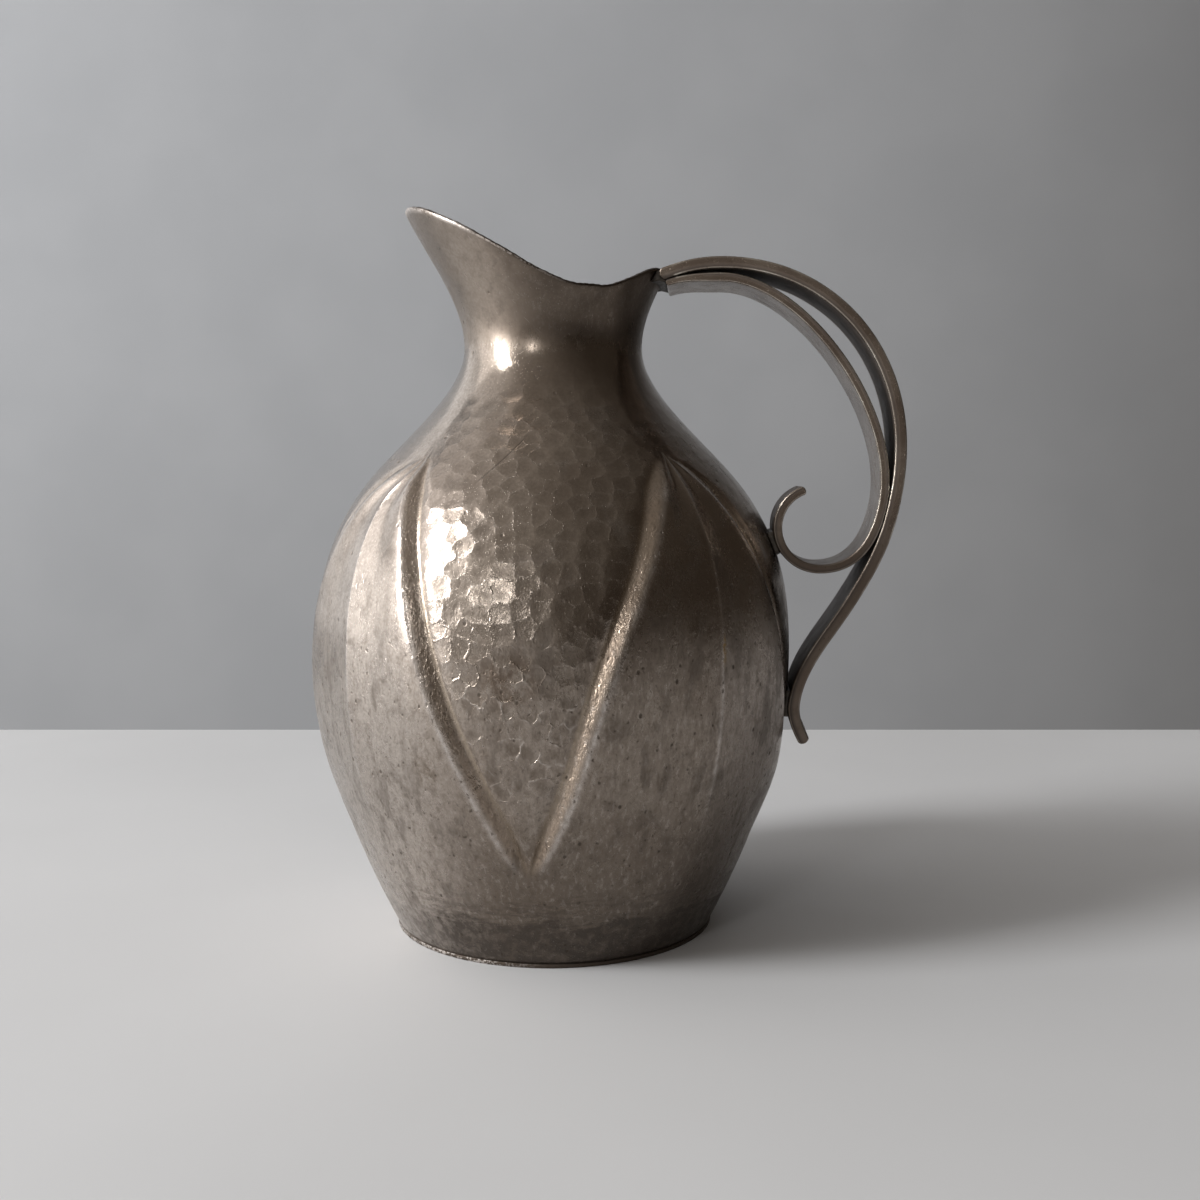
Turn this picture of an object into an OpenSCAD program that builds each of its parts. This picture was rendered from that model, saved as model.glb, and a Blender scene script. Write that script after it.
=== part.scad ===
// Hammered pewter jug, in millimetres.
// An ovoid body of sheet with a flared, saddle-cut mouth and raised leaves round the belly,
// a flat base disc, and a handle of two flat straps of which the inner one ends in a scroll.
// The body's axis is Z, the jug stands on z = 0, the handle is on +X and the spout on -X.

/* [Body] */
// Radius of the body at the table
base_r = 47.5; // [42:0.5:54]
// Radius of the belly, the widest place
belly_r = 71.4; // [66:0.2:76]
// Height of the belly
belly_z = 83; // [74:1:92]
// Radius half way up the shoulder
shoulder_r = 52; // [47:0.5:56]
// Height half way up the shoulder
shoulder_z = 138.4; // [133:0.2:143]
// Radius of the throat
throat_r = 26.6; // [23:0.2:30]
// Height of the throat
throat_z = 174.2; // [169:0.2:179]
// Thickness of the sheet
wall = 1.6; // [1.2:0.1:2.2]

/* [Mouth] */
// Radius of the mouth at the spout's lip
spout_r = 43.9; // [39:0.2:48]
// Height of the spout's lip above the throat
spout_rise = 39.3; // [33:0.1:45]
// Height above the throat of the lowest stretches of the rim, on both flanks
rim_low_rise = 15.6; // [13:0.1:18]
// Height above the throat of the rim at the handle
rim_back_rise = 22.3; // [19:0.1:25]

/* [Leaves] */
// Number of raised leaves round the belly
leaf_count = 4; // [3:1:5]
// Height of the leaves' tips
leaf_tip_z = 141; // [134:1:146]
// Height at which neighbouring leaves meet
leaf_foot_z = 30; // [24:1:40]
// Height of the bead along a leaf's edge
leaf_bead_h = 1.6; // [0.8:0.1:2.2]
// Depth of the groove beside that bead
leaf_groove_h = 0.9; // [0.4:0.1:1.4]
// Height of the keel along a leaf's middle
leaf_keel_h = 1.2; // [0.6:0.1:1.8]
// Height of the hollow between keel and bead
leaf_hollow_h = 0.3; // [0:0.1:0.6]
// Distance from a leaf's edge in to the top of its bead
leaf_bead_w = 2; // [1.4:0.1:3]
// Distance from a leaf's edge out to the bottom of its groove
leaf_groove_w = 2; // [1.4:0.1:3]
// Distance from a leaf's edge out to the plain panel
leaf_run_w = 7; // [5:0.5:10]

/* [Base] */
// Thickness of the base disc
base_t = 1.2; // [0.8:0.1:2]
// How far the base disc stands out past the body
base_lip = 0.3; // [0.1:0.1:0.8]
// Leg of the solder fillet inside the base seam
base_fillet = 2.4; // [1.5:0.1:4]

/* [Handle] */
// Width of both straps
strap_w = 25; // [18:0.5:28]
// Thickness of the outer strap
outer_t = 3.4; // [2.8:0.1:4]
// Thickness of the inner strap
inner_t = 2.6; // [2.2:0.1:3.2]
// How far the handle's outermost face stands out past the belly
handle_out = 32.4; // [28:0.2:38]
// How far above the straps' solder joint that outermost place lies
reach_rise = 17.5; // [14:0.5:21]
// How far the crown of the handle rises above the rim at the handle
handle_rise = 2.5; // [1.5:0.1:6]
// Distance from the outer strap's end to the crown
crown_run = 16.7; // [13:0.1:21]
// How far below the rim the middle of the outer strap's end lies
end_drop = 2.3; // [2:0.1:3.5]
// How far that end reaches in past the back of the rim, which is cut out of its middle
end_tuck = 0.8; // [0.3:0.1:1.5]
// How far back along the outer strap the inner strap's end lies
inner_setback = 0.6; // [0:0.1:2]
// Gap between the straps at the crown
crown_gap = 1.2; // [0.6:0.1:2]
// How far the outer strap has turned in at that solder joint
joint_in = 2; // [1.5:0.1:3]
// How far above the scroll's rest the straps are soldered together
joint_rise = 9.6; // [7:0.1:12]
// How far above the belly the scroll rests on the shoulder
scroll_rise = 33.4; // [28:0.1:39]
// How far below the scroll's rest the outer strap rests on the belly
strut_fall = 47.4; // [40:0.2:54]
// How far the slanting part above it stands out from a straight line
strut_bulge = 0.9; // [0:0.1:2]
// How far the tail runs down past the belly
tail_drop = 10.4; // [7:0.1:15]
// How far the tail's end flicks out
tail_flick = 2.8; // [1.5:0.1:5]
// Where the scroll's end stops, in degrees round its centre
scroll_end = 117; // [100:1:130]

/* [Hidden] */
$fn = 96;
// Facets round the body where solder is trimmed to it
core_facets = 360;

// Thickness of the solder film between pieces that are soldered together
seat = 0.2;
// How far a cut or a pad reaches into the piece that trims it
overrun = 1;
// Length of the solder along the straps, at the strap joint, the scroll and the tail
joint_len = 12;
scroll_pad_len = 7;
tail_pad_len = 8;
// How far the solder stays inside the straps' edges
pad_inset = 0.6;
// Length along the strap's middle line of one straight facet
strap_step = 2.2;

pewter = [0.47, 0.44, 0.40];
pewter_dark = [0.40, 0.36, 0.32];
solder_grey = [0.28, 0.26, 0.24];

// Slopes of the body's outline, outwards for each unit upwards
base_slope_share = 0.52;
shoulder_slope_share = -0.92;
spout_slope_share = 0.5;
spout_z = throat_z + spout_rise;
rim_low_z = throat_z + rim_low_rise;
rim_back_z = throat_z + rim_back_rise;
// The outline's stations from the table up: height, radius, slope
stations = [
    [0, base_r, base_slope_share],
    [belly_z, belly_r, 0],
    [shoulder_z, shoulder_r, shoulder_slope_share],
    [throat_z, throat_r, 0],
    [spout_z, spout_r, spout_slope_share]];

// Angles of the rim's stretches from the handle round to the spout, in degrees
rim_back_angle = 15;
rim_low_angle = 57;
rim_rise_angle = 66;
rim_lip_angle = 161;

// A leaf's half-width as shares of half the leaf spacing: a round-tipped part and a late spread
leaf_root_share = 0.78;
leaf_spread_power = 4;
// Least half-width of a leaf, and of the panel between leaves, as shares of half the leaf spacing
leaf_min_share = 0.03;
panel_min_share = 0.07;
// Where the leaf's relief fades, as shares of the leaf's height
leaf_tip_fade_share = 0.12;
leaf_foot_fade_share = 0.1;
keel_fade_share = 0.3;
// Columns across half a leaf, as shares of its half-width
leaf_column_shares = [0, 0.1, 0.45, 0.75];
// Relief at the columns beside the keel and below the bead, between hollow and crest
keel_flank_share = 0.5;
bead_flank_share = 0.35;
// How much of the narrowest leaf or panel the bead and the groove may take
bead_max_share = 0.3;
groove_max_share = 0.35;
run_max_share = 0.75;
// Columns in half a leaf spacing, and rows below and above the throat
half_columns = 10;
low_rows = 30;
high_rows = 7;
// How much closer the rows below the throat lie at the throat, where the outline turns most
row_crowd_share = 0.2;

// Headings of the straps, in degrees: 0 points outwards, 90 up
outer_start_heading = 21;
inner_start_heading = 17;
tail_heading = -62;
// The straps' turn at their joint against an arc's, and the strut's extra lean half way down
joint_turn_share = 0.92;
strut_turn = 6.2;
// Place and reach of the curves between the straps' fixed places
strut_share = 0.48;
outer_arm_share = 0.57;
inner_arm_share = 0.5;
strut_arm_share = 0.36;
scroll_arm_share = 0.55;
// The scroll's radius against the space between body and strap at the strap joint
scroll_share = 0.4115;
// How far the scroll has drawn in at its end
scroll_tip_share = 0.89;
// Length of a strap's rounded end against half its thickness
cap_share = 0.7;
cap_steps = 6;

// Smooth step from 0 to 1
function smooth(t) =
    let (c = max(0, min(1, t)))
    c * c * (3 - 2 * c);

function mix(a, b, t) = a + (b - a) * t;

// Outline of the body
function station(z, i = 0) =
    i >= len(stations) - 2 || z <= stations[i + 1][0] ? i : station(z, i + 1);

function body_r(z) =
    let (
        i = station(z),
        a = stations[i],
        b = stations[i + 1],
        h = b[0] - a[0],
        t = (z - a[0]) / h,
        u = 1 - t)
    a[1] * u * u * (1 + 2 * t) + b[1] * t * t * (3 - 2 * t) + h * t * u * (a[2] * u - b[2] * t);

function body_slope(z) =
    let (
        i = station(z),
        a = stations[i],
        b = stations[i + 1],
        h = b[0] - a[0],
        t = (z - a[0]) / h)
    6 * (b[1] - a[1]) / h * t * (1 - t) + a[2] * (1 - t) * (1 - 3 * t) + b[2] * t * (3 * t - 2);

function body_inner_r(z) = body_r(z) - wall * sqrt(1 + pow(body_slope(z), 2));

// Height of the rim at an angle from the handle
function rim_z(angle) =
    let (off = abs(((angle + 180) % 360 + 360) % 360 - 180))
    off < rim_low_angle
        ? mix(rim_back_z, rim_low_z, smooth((off - rim_back_angle) / (rim_low_angle - rim_back_angle)))
        : mix(rim_low_z, spout_z, smooth((off - rim_rise_angle) / (rim_lip_angle - rim_rise_angle)));

// Leaves: angles are counted from a leaf's keel, over half the leaf spacing
half_spacing = 180 / leaf_count;
leaf_h = leaf_tip_z - leaf_foot_z;

function leaf_depth(z) = (leaf_tip_z - z) / leaf_h;

function leaf_half_angle(z) =
    let (
        t = max(0, min(1, leaf_depth(z))),
        share = leaf_root_share * sqrt(t) + (1 - leaf_root_share) * pow(t, leaf_spread_power))
    half_spacing * max(leaf_min_share, min(1 - panel_min_share, share));

function arc_angle(length, z) = length / body_r(z) * 180 / PI;

// Angle of column k from the keel: it follows the leaf's edge, and is even away from the leaf
function column_angle(k, z) =
    let (
        a = leaf_half_angle(z),
        panel = half_spacing - a,
        bead = min(arc_angle(leaf_bead_w, z), bead_max_share * a),
        groove = min(arc_angle(leaf_groove_w, z), groove_max_share * panel),
        run = min(arc_angle(leaf_run_w, z), run_max_share * panel),
        columns = len(leaf_column_shares),
        beyond = k - columns - 3,
        leaf = k < columns ? a * leaf_column_shares[k]
            : k == columns ? a - bead
            : k == columns + 1 ? a
            : k == columns + 2 ? a + groove
            : mix(a + run, half_spacing, beyond / (half_columns - columns - 3)),
        even = half_spacing * k / half_columns,
        above = (z - leaf_tip_z) / (throat_z - leaf_tip_z),
        below = (leaf_foot_z - z) / leaf_foot_z)
    mix(leaf, even, smooth(max(above, below)));

// Level of the leaf's edge, half way between bead and groove
leaf_edge_h = (leaf_bead_h - leaf_groove_h) / 2;

// Relief at a distance outside a leaf's edge: down into the groove and up to the plain panel
function groove_lift(s) =
    s < leaf_groove_w
        ? mix(leaf_edge_h, -leaf_groove_h, smooth(s / leaf_groove_w))
        : -leaf_groove_h * (1 - smooth((s - leaf_groove_w) / (leaf_run_w - leaf_groove_w)));

// How far the relief stands out at column k
function column_lift(k, z) =
    let (
        t = leaf_depth(z),
        beyond = (column_angle(k, z) - leaf_half_angle(z)) * body_r(z) * PI / 180,
        tip = smooth((t + leaf_tip_fade_share / 4) / leaf_tip_fade_share),
        foot = smooth((1 + leaf_foot_fade_share / 4 - t) / leaf_foot_fade_share),
        keel = mix(leaf_hollow_h, leaf_keel_h, smooth((1 - t) / keel_fade_share)),
        lifts = [
            keel,
            mix(leaf_hollow_h, keel, keel_flank_share),
            leaf_hollow_h,
            mix(leaf_hollow_h, leaf_bead_h, bead_flank_share),
            leaf_bead_h,
            leaf_edge_h])
    tip * foot * (k < len(lifts) ? lifts[k] : groove_lift(max(0, beyond)));

// Body shell: rows run from the base disc to the rim, columns round the leaves.
// Quads are split along the leaves' edges, so both halves of a leaf are alike
columns = 2 * half_columns * leaf_count;
rows = low_rows + high_rows;

function row_z(i, angle) =
    i <= low_rows
        ? let (u = i / low_rows) mix(base_t, throat_z, u * (1 + row_crowd_share * (1 - u)))
        : mix(throat_z, rim_z(angle), (i - low_rows) / high_rows);

function shell_point(i, j, inside) =
    let (
        flat_z = row_z(min(i, low_rows), 0),
        leaf = floor(j / (2 * half_columns)),
        m = j % (2 * half_columns),
        k = m <= half_columns ? m : 2 * half_columns - m,
        turn = column_angle(k, flat_z),
        angle = half_spacing * (2 * leaf + 1) + (m <= half_columns ? turn : 2 * half_spacing - turn),
        z = row_z(i, angle),
        r = (inside ? body_inner_r(z) : body_r(z)) + column_lift(k, flat_z))
    [r * cos(angle), r * sin(angle), z];

module body_shell() {
    skin = columns * (rows + 1);
    points = [
        for (inside = [false, true])
            for (i = [0:rows])
                for (j = [0:columns - 1])
                    shell_point(i, j, inside)];
    outer_quads = [
        for (i = [0:rows - 1])
            for (j = [0:columns - 1])
                let (
                    n = (j + 1) % columns,
                    low = i * columns,
                    high = low + columns,
                    toward_panel = j % (2 * half_columns) < half_columns)
                toward_panel
                    ? [high + j, high + n, low + n, low + j]
                    : [low + j, high + j, high + n, low + n]];
    inner_quads = [for (q = outer_quads) [q[2] + skin, q[1] + skin, q[0] + skin, q[3] + skin]];
    top = rows * columns;
    edge_quads = [
        for (j = [0:columns - 1])
            let (n = (j + 1) % columns)
            each [
                [top + j, top + j + skin, top + n + skin, top + n],
                [j, n, n + skin, j + skin]]];
    quads = concat(outer_quads, inner_quads, edge_quads);
    color(pewter)
        polyhedron(points, [for (q = quads) each [[q[0], q[1], q[2]], [q[0], q[2], q[3]]]]);
}

// Base disc and the solder inside its seam
module base_disc() {
    edge_r = body_r(base_t) + base_lip;
    color(pewter)
        rotate_extrude()
            polygon([[0, 0], [edge_r - base_lip, 0], [edge_r, base_lip], [edge_r, base_t], [0, base_t]]);
}

module base_seam() {
    low_r = body_inner_r(base_t) - seat / 2;
    top_z = base_t + base_fillet;
    top_r = body_inner_r(top_z) - seat / 2;
    color(solder_grey)
        rotate_extrude()
            polygon([[low_r - base_fillet, base_t], [low_r, base_t], [top_r, top_z]]);
}

// A strap's middle line runs through knots of [x, z, heading, reach of its curves]
function toward(heading) = [cos(heading), sin(heading)];

function bezier(a, b, c, d, t) =
    let (u = 1 - t)
    a * u * u * u + b * 3 * u * u * t + c * 3 * u * t * t + d * t * t * t;

// Points of the curve between two knots, without its last one
function knot_curve(p, q) =
    let (
        a = [p[0], p[1]],
        d = [q[0], q[1]],
        chord = d - a,
        b = a + toward(p[2]) * abs(chord * toward(p[2])) * p[3],
        c = d - toward(q[2]) * abs(chord * toward(q[2])) * p[3],
        steps = ceil(norm(chord) / strap_step))
    [for (s = [0:steps - 1]) bezier(a, b, c, d, s / steps)];

function knot_line(knots) = [
    for (i = [0:len(knots) - 2]) each knot_curve(knots[i], knots[i + 1]),
    [knots[len(knots) - 1][0], knots[len(knots) - 1][1]]];

function line_dir(line, i) =
    let (d = line[min(i + 1, len(line) - 1)] - line[max(i - 1, 0)])
    d / norm(d);

function left_of(d) = [-d[1], d[0]];

// Outline of a strap: its middle line made thick, with rounded ends
function strap_outline(line, thick) =
    let (
        last = len(line) - 1,
        half = thick / 2,
        start_dir = line_dir(line, 0),
        end_dir = line_dir(line, last),
        turns = [for (s = [1:cap_steps - 1]) 180 * s / cap_steps])
    concat(
        [for (i = [0:last]) line[i] + left_of(line_dir(line, i)) * half],
        [for (a = turns) line[last] + left_of(end_dir) * half * cos(a) + end_dir * half * cap_share * sin(a)],
        [for (i = [last:-1:0]) line[i] - left_of(line_dir(line, i)) * half],
        [for (a = turns) line[0] - left_of(start_dir) * half * cos(a) - start_dir * half * cap_share * sin(a)]);

// How far a circle of radius r falls back at a distance from its middle
function sagitta(r, distance) = r - sqrt(r * r - distance * distance);

// A point at a distance from the body's surface, square to it, in the handle's plane
function off_body(z, distance) =
    let (s = body_slope(z))
    [body_r(z), z] + [1, -s] / sqrt(1 + s * s) * distance;

// Outer strap: from the rim over the crown, down the side and in to the belly
outer_start_z = rim_back_z - end_drop;
outer_start = off_body(outer_start_z, seat);
outer_end = outer_start + toward(outer_start_heading) * (outer_t / 2 * cap_share - end_tuck);
crown_x = outer_start[0] + crown_run;
crown_z = rim_back_z + handle_rise - outer_t / 2;
reach_x = belly_r + handle_out - outer_t / 2;
scroll_z = belly_z + scroll_rise;
joint_z = scroll_z + joint_rise;
reach_z = joint_z + reach_rise;
tail_z = scroll_z - strut_fall;
outer_joint = [reach_x - joint_in, joint_z];
tail_touch = off_body(tail_z, seat + outer_t / 2);
strut_lean = atan2(tail_touch[1] - outer_joint[1], tail_touch[0] - outer_joint[0]);
joint_heading = -90 - 2 * atan(joint_in / reach_rise) * joint_turn_share;
strut_heading = strut_lean - strut_turn;
strut = mix(outer_joint, tail_touch, strut_share) + left_of(toward(strut_lean)) * strut_bulge;
outer_line = knot_line([
    [outer_end[0], outer_end[1], outer_start_heading, strut_arm_share],
    [crown_x, crown_z, 0, outer_arm_share],
    [reach_x, reach_z, -90, strut_arm_share],
    [outer_joint[0], outer_joint[1], joint_heading, strut_arm_share],
    [strut[0], strut[1], strut_heading, strut_arm_share],
    [tail_touch[0], tail_touch[1], -90 - atan(body_slope(tail_z)), strut_arm_share],
    [tail_touch[0] + tail_flick, tail_touch[1] - tail_drop, tail_heading, 0]]);

// Inner strap: under the crown, against the outer strap, then round the scroll
inner_start = outer_start + toward(outer_start_heading) * inner_setback
    - left_of(toward(outer_start_heading)) * ((outer_t + inner_t) / 2 + seat);
inner_crown = [crown_x, crown_z - (outer_t + inner_t) / 2 - crown_gap];
inner_joint = outer_joint - left_of(toward(joint_heading)) * ((outer_t + inner_t) / 2 + seat);
scroll_r = (inner_joint[0] - body_r(scroll_z)) * scroll_share;
scroll_centre = off_body(scroll_z, seat + inner_t / 2 + scroll_r);
scroll_steps = ceil(scroll_r * (270 - scroll_end) * PI / 180 / strap_step);
inner_line = concat(
    knot_line([
        [inner_start[0], inner_start[1], inner_start_heading, strut_arm_share],
        [inner_crown[0], inner_crown[1], 0, inner_arm_share],
        [inner_joint[0], inner_joint[1], joint_heading, scroll_arm_share],
        [scroll_centre[0], scroll_centre[1] - scroll_r, -180, 0]]),
    [for (s = [1:scroll_steps])
        scroll_centre + toward(mix(270, scroll_end, s / scroll_steps))
            * scroll_r * mix(1, scroll_tip_share, pow(s / scroll_steps, 2))]);

module outer_band() {
    polygon(strap_outline(outer_line, outer_t));
}

module inner_band() {
    polygon(strap_outline(inner_line, inner_t));
}

// Stands an outline in the handle's plane up as a strip of the given width
module strip(width) {
    rotate([90, 0, 0])
        linear_extrude(height = width, center = true)
            children();
}

module handle_outer_strap() {
    color(pewter_dark)
        difference() {
            strip(strap_w)
                outer_band();
            body_core(rim_back_z - 2 * (end_drop + outer_t), rim_back_z, seat);
        }
}

module handle_inner_strap() {
    color(pewter_dark)
        strip(strap_w)
            inner_band();
}

// The body, and a clearance round it, as a plain solid of revolution over a stretch of height,
// for trimming what is soldered to it
module body_core(low_z, high_z, clear = 0) {
    steps = ceil((high_z - low_z) / strap_step);
    rotate_extrude($fn = core_facets)
        polygon(concat(
            [[0, low_z]],
            [for (s = [0:steps])
                let (z = mix(low_z, high_z, s / steps))
                [body_r(z) + clear * sqrt(1 + pow(body_slope(z), 2)), z]],
            [[0, high_z]]));
}

// Solder between the body and a strap that rests on it at height z
module body_pad(z, length, reach) {
    from = off_body(z, -overrun);
    to = off_body(z, reach);
    along = left_of((to - from) / norm(to - from)) * length / 2;
    difference() {
        strip(strap_w - 2 * pad_inset)
            difference() {
                polygon([from - along, to - along, to + along, from + along]);
                children();
            }
        body_core(z - length, z + length);
    }
}

module scroll_solder() {
    color(solder_grey)
        body_pad(scroll_z, scroll_pad_len, seat + inner_t / 2)
            inner_band();
}

module tail_solder() {
    color(solder_grey)
        body_pad(tail_z, tail_pad_len, seat + outer_t / 2)
            outer_band();
}

module strap_solder() {
    along = toward(joint_heading) * joint_len / 2;
    color(solder_grey)
        strip(strap_w - 2 * pad_inset)
            difference() {
                polygon([outer_joint - along, outer_joint + along, inner_joint + along, inner_joint - along]);
                outer_band();
                inner_band();
            }
}

// Solder that fills the corner between the rim and the two strap ends
module rim_solder() {
    low_z = inner_start[1] - inner_t / 2;
    high_z = outer_start[1] + outer_t / 2;
    inside_x = body_r(low_z) - sagitta(body_r(low_z), strap_w / 2) - overrun;
    lap = inner_start + [inner_t, 0];
    color(solder_grey)
        difference() {
            strip(strap_w - 2 * pad_inset)
                difference() {
                    polygon([
                        [inside_x, low_z],
                        [inner_start[0], low_z],
                        lap,
                        [lap[0], outer_start[1]],
                        [outer_start[0], high_z],
                        [inside_x, high_z]]);
                    inner_band();
                }
            handle_outer_strap();
            body_core(low_z - overrun, high_z + overrun);
        }
}

body_shell();
base_disc();
base_seam();
handle_outer_strap();
handle_inner_strap();
rim_solder();
strap_solder();
scroll_solder();
tail_solder();
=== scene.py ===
"""Looks of the hammered pewter jug: fine meshes, materials, stage, light and camera.

Shapes are worked out in millimetres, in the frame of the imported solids, and built in metres.
"""

import math

import bpy
import numpy as np
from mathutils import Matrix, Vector, noise
from mathutils.kdtree import KDTree


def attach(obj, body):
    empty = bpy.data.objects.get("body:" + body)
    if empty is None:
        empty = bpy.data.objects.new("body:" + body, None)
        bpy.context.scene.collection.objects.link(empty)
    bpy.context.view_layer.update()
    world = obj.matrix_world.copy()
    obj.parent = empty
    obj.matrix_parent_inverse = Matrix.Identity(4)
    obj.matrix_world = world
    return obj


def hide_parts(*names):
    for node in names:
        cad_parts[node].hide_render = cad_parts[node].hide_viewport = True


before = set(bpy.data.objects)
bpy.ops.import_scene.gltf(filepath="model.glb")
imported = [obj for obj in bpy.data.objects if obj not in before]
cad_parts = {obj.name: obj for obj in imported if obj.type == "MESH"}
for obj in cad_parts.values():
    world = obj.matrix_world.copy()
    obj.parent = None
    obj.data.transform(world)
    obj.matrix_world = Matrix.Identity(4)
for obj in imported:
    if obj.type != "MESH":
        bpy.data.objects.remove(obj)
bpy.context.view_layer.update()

MM = 0.001
SEED = 11
SEED_SHIFT = (1.0, 2.3, -1.7)

# Body outline from the table up: height, radius, outward slope
STATIONS = (
    (0.0, 47.5, 0.52),
    (83.0, 71.4, 0.0),
    (138.4, 52.0, -0.92),
    (174.2, 26.6, 0.0),
    (213.5, 43.9, 0.5),
)
RUN_STEPS = 2000
BELLY_Z = 83.0
BELLY_R = 71.4
THROAT_Z = 174.2
WALL = 1.6
SEAT = 0.2

# Rim, with the waves of its uneven cut: two counts with their shifts in degrees, and a depth
SPOUT_Z = 213.5
RIM_LOW_Z = 189.8
RIM_BACK_Z = 196.5
RIM_BACK_ANGLE = 15.0
RIM_LOW_ANGLE = 57.0
RIM_RISE_ANGLE = 66.0
RIM_LIP_ANGLE = 161.0
RIM_NICK = 0.45
NICK_LEVEL = 0.5
NICK_WAVES = (
    (7.0, 0.0, 11.0, 40.0, 0.15),
    (31.0, 15.0, 23.0, 0.0, 0.15),
    (59.0, 0.0, 41.0, 70.0, 0.2),
)
LIP_H = 0.4
LIP_SHADE_DEPTH = 2.2
LIP_SHADE_BLEND = 2.0
LIP_INSIDE = 0.4

# Base disc and the seam inside it
BASE_T = 1.2
BASE_LIP = 0.3
BASE_HUB_R = 0.4
BASE_RINGS_IN = (12.0, 3.0)
BASE_ROUND = 0.08
BASE_ROUND_LOW = 0.12
BASE_ROUND_TOP = 0.07
BASE_SIDE_TOP = 0.25
BASE_COLUMNS = 256
BITE_DEPTH = 0.12
BITE_SCALE = 0.35
BITE_SEED = 4.0
BASE_FILLET = 2.4
SEAM_COLUMNS = 192
SEAM_STEPS = 6
SEAM_SAG = (0.3, -0.3)

# Leaves: widths and heights in millimetres, shares of a width, and fades as start and length
LEAVES = 4
HALF_SPACING = 45.0
LEAF_TIP_Z = 141.0
LEAF_FOOT_Z = 30.0
LEAF_ROOT_SHARE = 0.78
LEAF_SPREAD_POWER = 4
LEAF_MIN_SHARE = 0.03
PANEL_MIN_SHARE = 0.004
LEAN_STEP = 0.4
ACROSS_LEAST = 0.35
BEAD_H = 1.6
GROOVE_H = 0.9
KEEL_H = 1.1
HOLLOW_H = 0.3
BEAD_W = 2.2
BEAD_MAX_SHARE = 0.3
GROOVE_W = 2.4
GROOVE_MAX_SHARE = 0.35
RUN_W = 7.5
RUN_MAX_SHARE = 0.75
RUN_POWER = 2.6
LEAST_W = 0.01
TIP_TAPER = 9.0
TAPER_LEAST = 0.1
TIP_FADE = (-0.03, 0.12)
ROUND_FOOT = 1.03
ROUND_FOOT_FADE = 0.24
SHARP_FOOT = 1.015
SHARP_FOOT_FADE = 0.07
FADE_EDGE = 6.0
HOLLOW_FADE = (0.36, 0.64)
KEEL_SHARE = 0.42
KEEL_POWER = 1.9
KEEL_FADE = 0.3
KEEL_CREST_SHARE = 0.75
GROOVE_LINE = 0.6
CREST_LINE = 0.8
KEEL_LINE = 0.45
FLANK_LINE = 2.2
PANEL_FROM_SHARE = 0.7
PANEL_BLEND = 2.5
PANEL_TOP_FADE = (-5.0, 6.0)
FLANK_FADE = (0.6, 0.2)
CRISP_FLANK = 0.3
ROUND_FLANK = 1.0

# Grid of the body: columns in half a leaf spacing, and rows
LEAF_COLUMNS = 12
EDGE_COLUMNS = 14
PANEL_COLUMNS = 23
HALF_COLUMNS = LEAF_COLUMNS + EDGE_COLUMNS + PANEL_COLUMNS
COLUMNS = 2 * HALF_COLUMNS * LEAVES
COLUMN_POWER = 1.9
LOW_ROWS = 172
HIGH_ROWS = 22
LIP_ROWS = 5
INNER_HIGH_ROWS = 10
INNER_LOW_ROWS = 34
EDGE_ZONE_IN = 5.0
EDGE_IN_SHARE = 0.5
EDGE_ZONE_OUT = 8.0
EDGE_OUT_SHARE = 0.75

# Small shifts of the hand work: angle, spread, height, spread, degrees moved
HAND_SHIFTS = (
    (225.0, 9.0, 141.0, 8.0, 5.5),
    (250.0, 14.0, 85.0, 30.0, -1.2),
    (289.0, 14.0, 82.0, 32.0, -2.6),
)

# Hammer marks, with fades as start and length in height or in degrees from the handle
MARK_SPAN = 5.9
MARK_FEWEST = 8
MARK_RING = 5.2
MARK_RING_NECK = 8.5
MARK_RING_FADE = (150.0, 20.0)
MARK_JITTER = 0.32
MARK_LOW_Z = 40.0
MARK_HIGH_Z = 186.0
MARK_RUN_STEPS = 4000
MARK_FOOT_FADE = (38.0, 16.0)
MARK_NECK_FADE = (150.0, 16.0)
MARK_NECK_LOSS = 0.6
MARK_TOP_FADE = (157.0, 12.0)
MARK_HANDLE_FADE = (38.0, 26.0)
MARK_SPOUT_FADE = (108.0, 24.0)
MARK_SPOUT_Z_FADE = (124.0, 14.0)
MARK_FAINT = 0.3
MARK_LEAST = 0.01
MARK_REACH = 3.4
MARK_MESH = 0.008
MARK_BUMP = 0.009
MARK_WAVE = 0.3
MARK_DRIFT = 3.0
NEAR_MARKS = 3
RIDGE_W = 0.8
HOLLOW_OFF = (0.8, 6.5)

# Handle: middle lines of both straps
OUTER_T = 3.4
INNER_T = 2.6
INNER_TIP_T = 1.8
INNER_TIP_RUN = 14.0
END_DROP = 2.3
END_TUCK = 0.8
OUTER_HEADING = 21.0
INNER_HEADING = 17.0
INNER_SETBACK = 0.6
CROWN_RUN = 16.7
CROWN_RISE = 2.5
CROWN_GAP = 1.2
HANDLE_OUT = 32.4
REACH_RISE = 17.5
JOINT_RISE = 9.6
JOINT_IN = 2.0
JOINT_TURN_SHARE = 0.92
SCROLL_RISE = 33.4
SCROLL_SHARE = 0.4115
SCROLL_TIP_SHARE = 0.89
SCROLL_FOOT = 270.0
SCROLL_END = 117.0
STRUT_FALL = 47.4
STRUT_SHARE = 0.48
STRUT_BULGE = 0.9
STRUT_TURN = 6.2
TAIL_FLICK = 2.8
TAIL_DROP = 10.4
TAIL_HEADING = -62.0
ARM_SHARE = 0.36
OUTER_ARM_SHARE = 0.57
INNER_ARM_SHARE = 0.5
SCROLL_ARM_SHARE = 0.55
STRAP_STEP = 0.9

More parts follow.
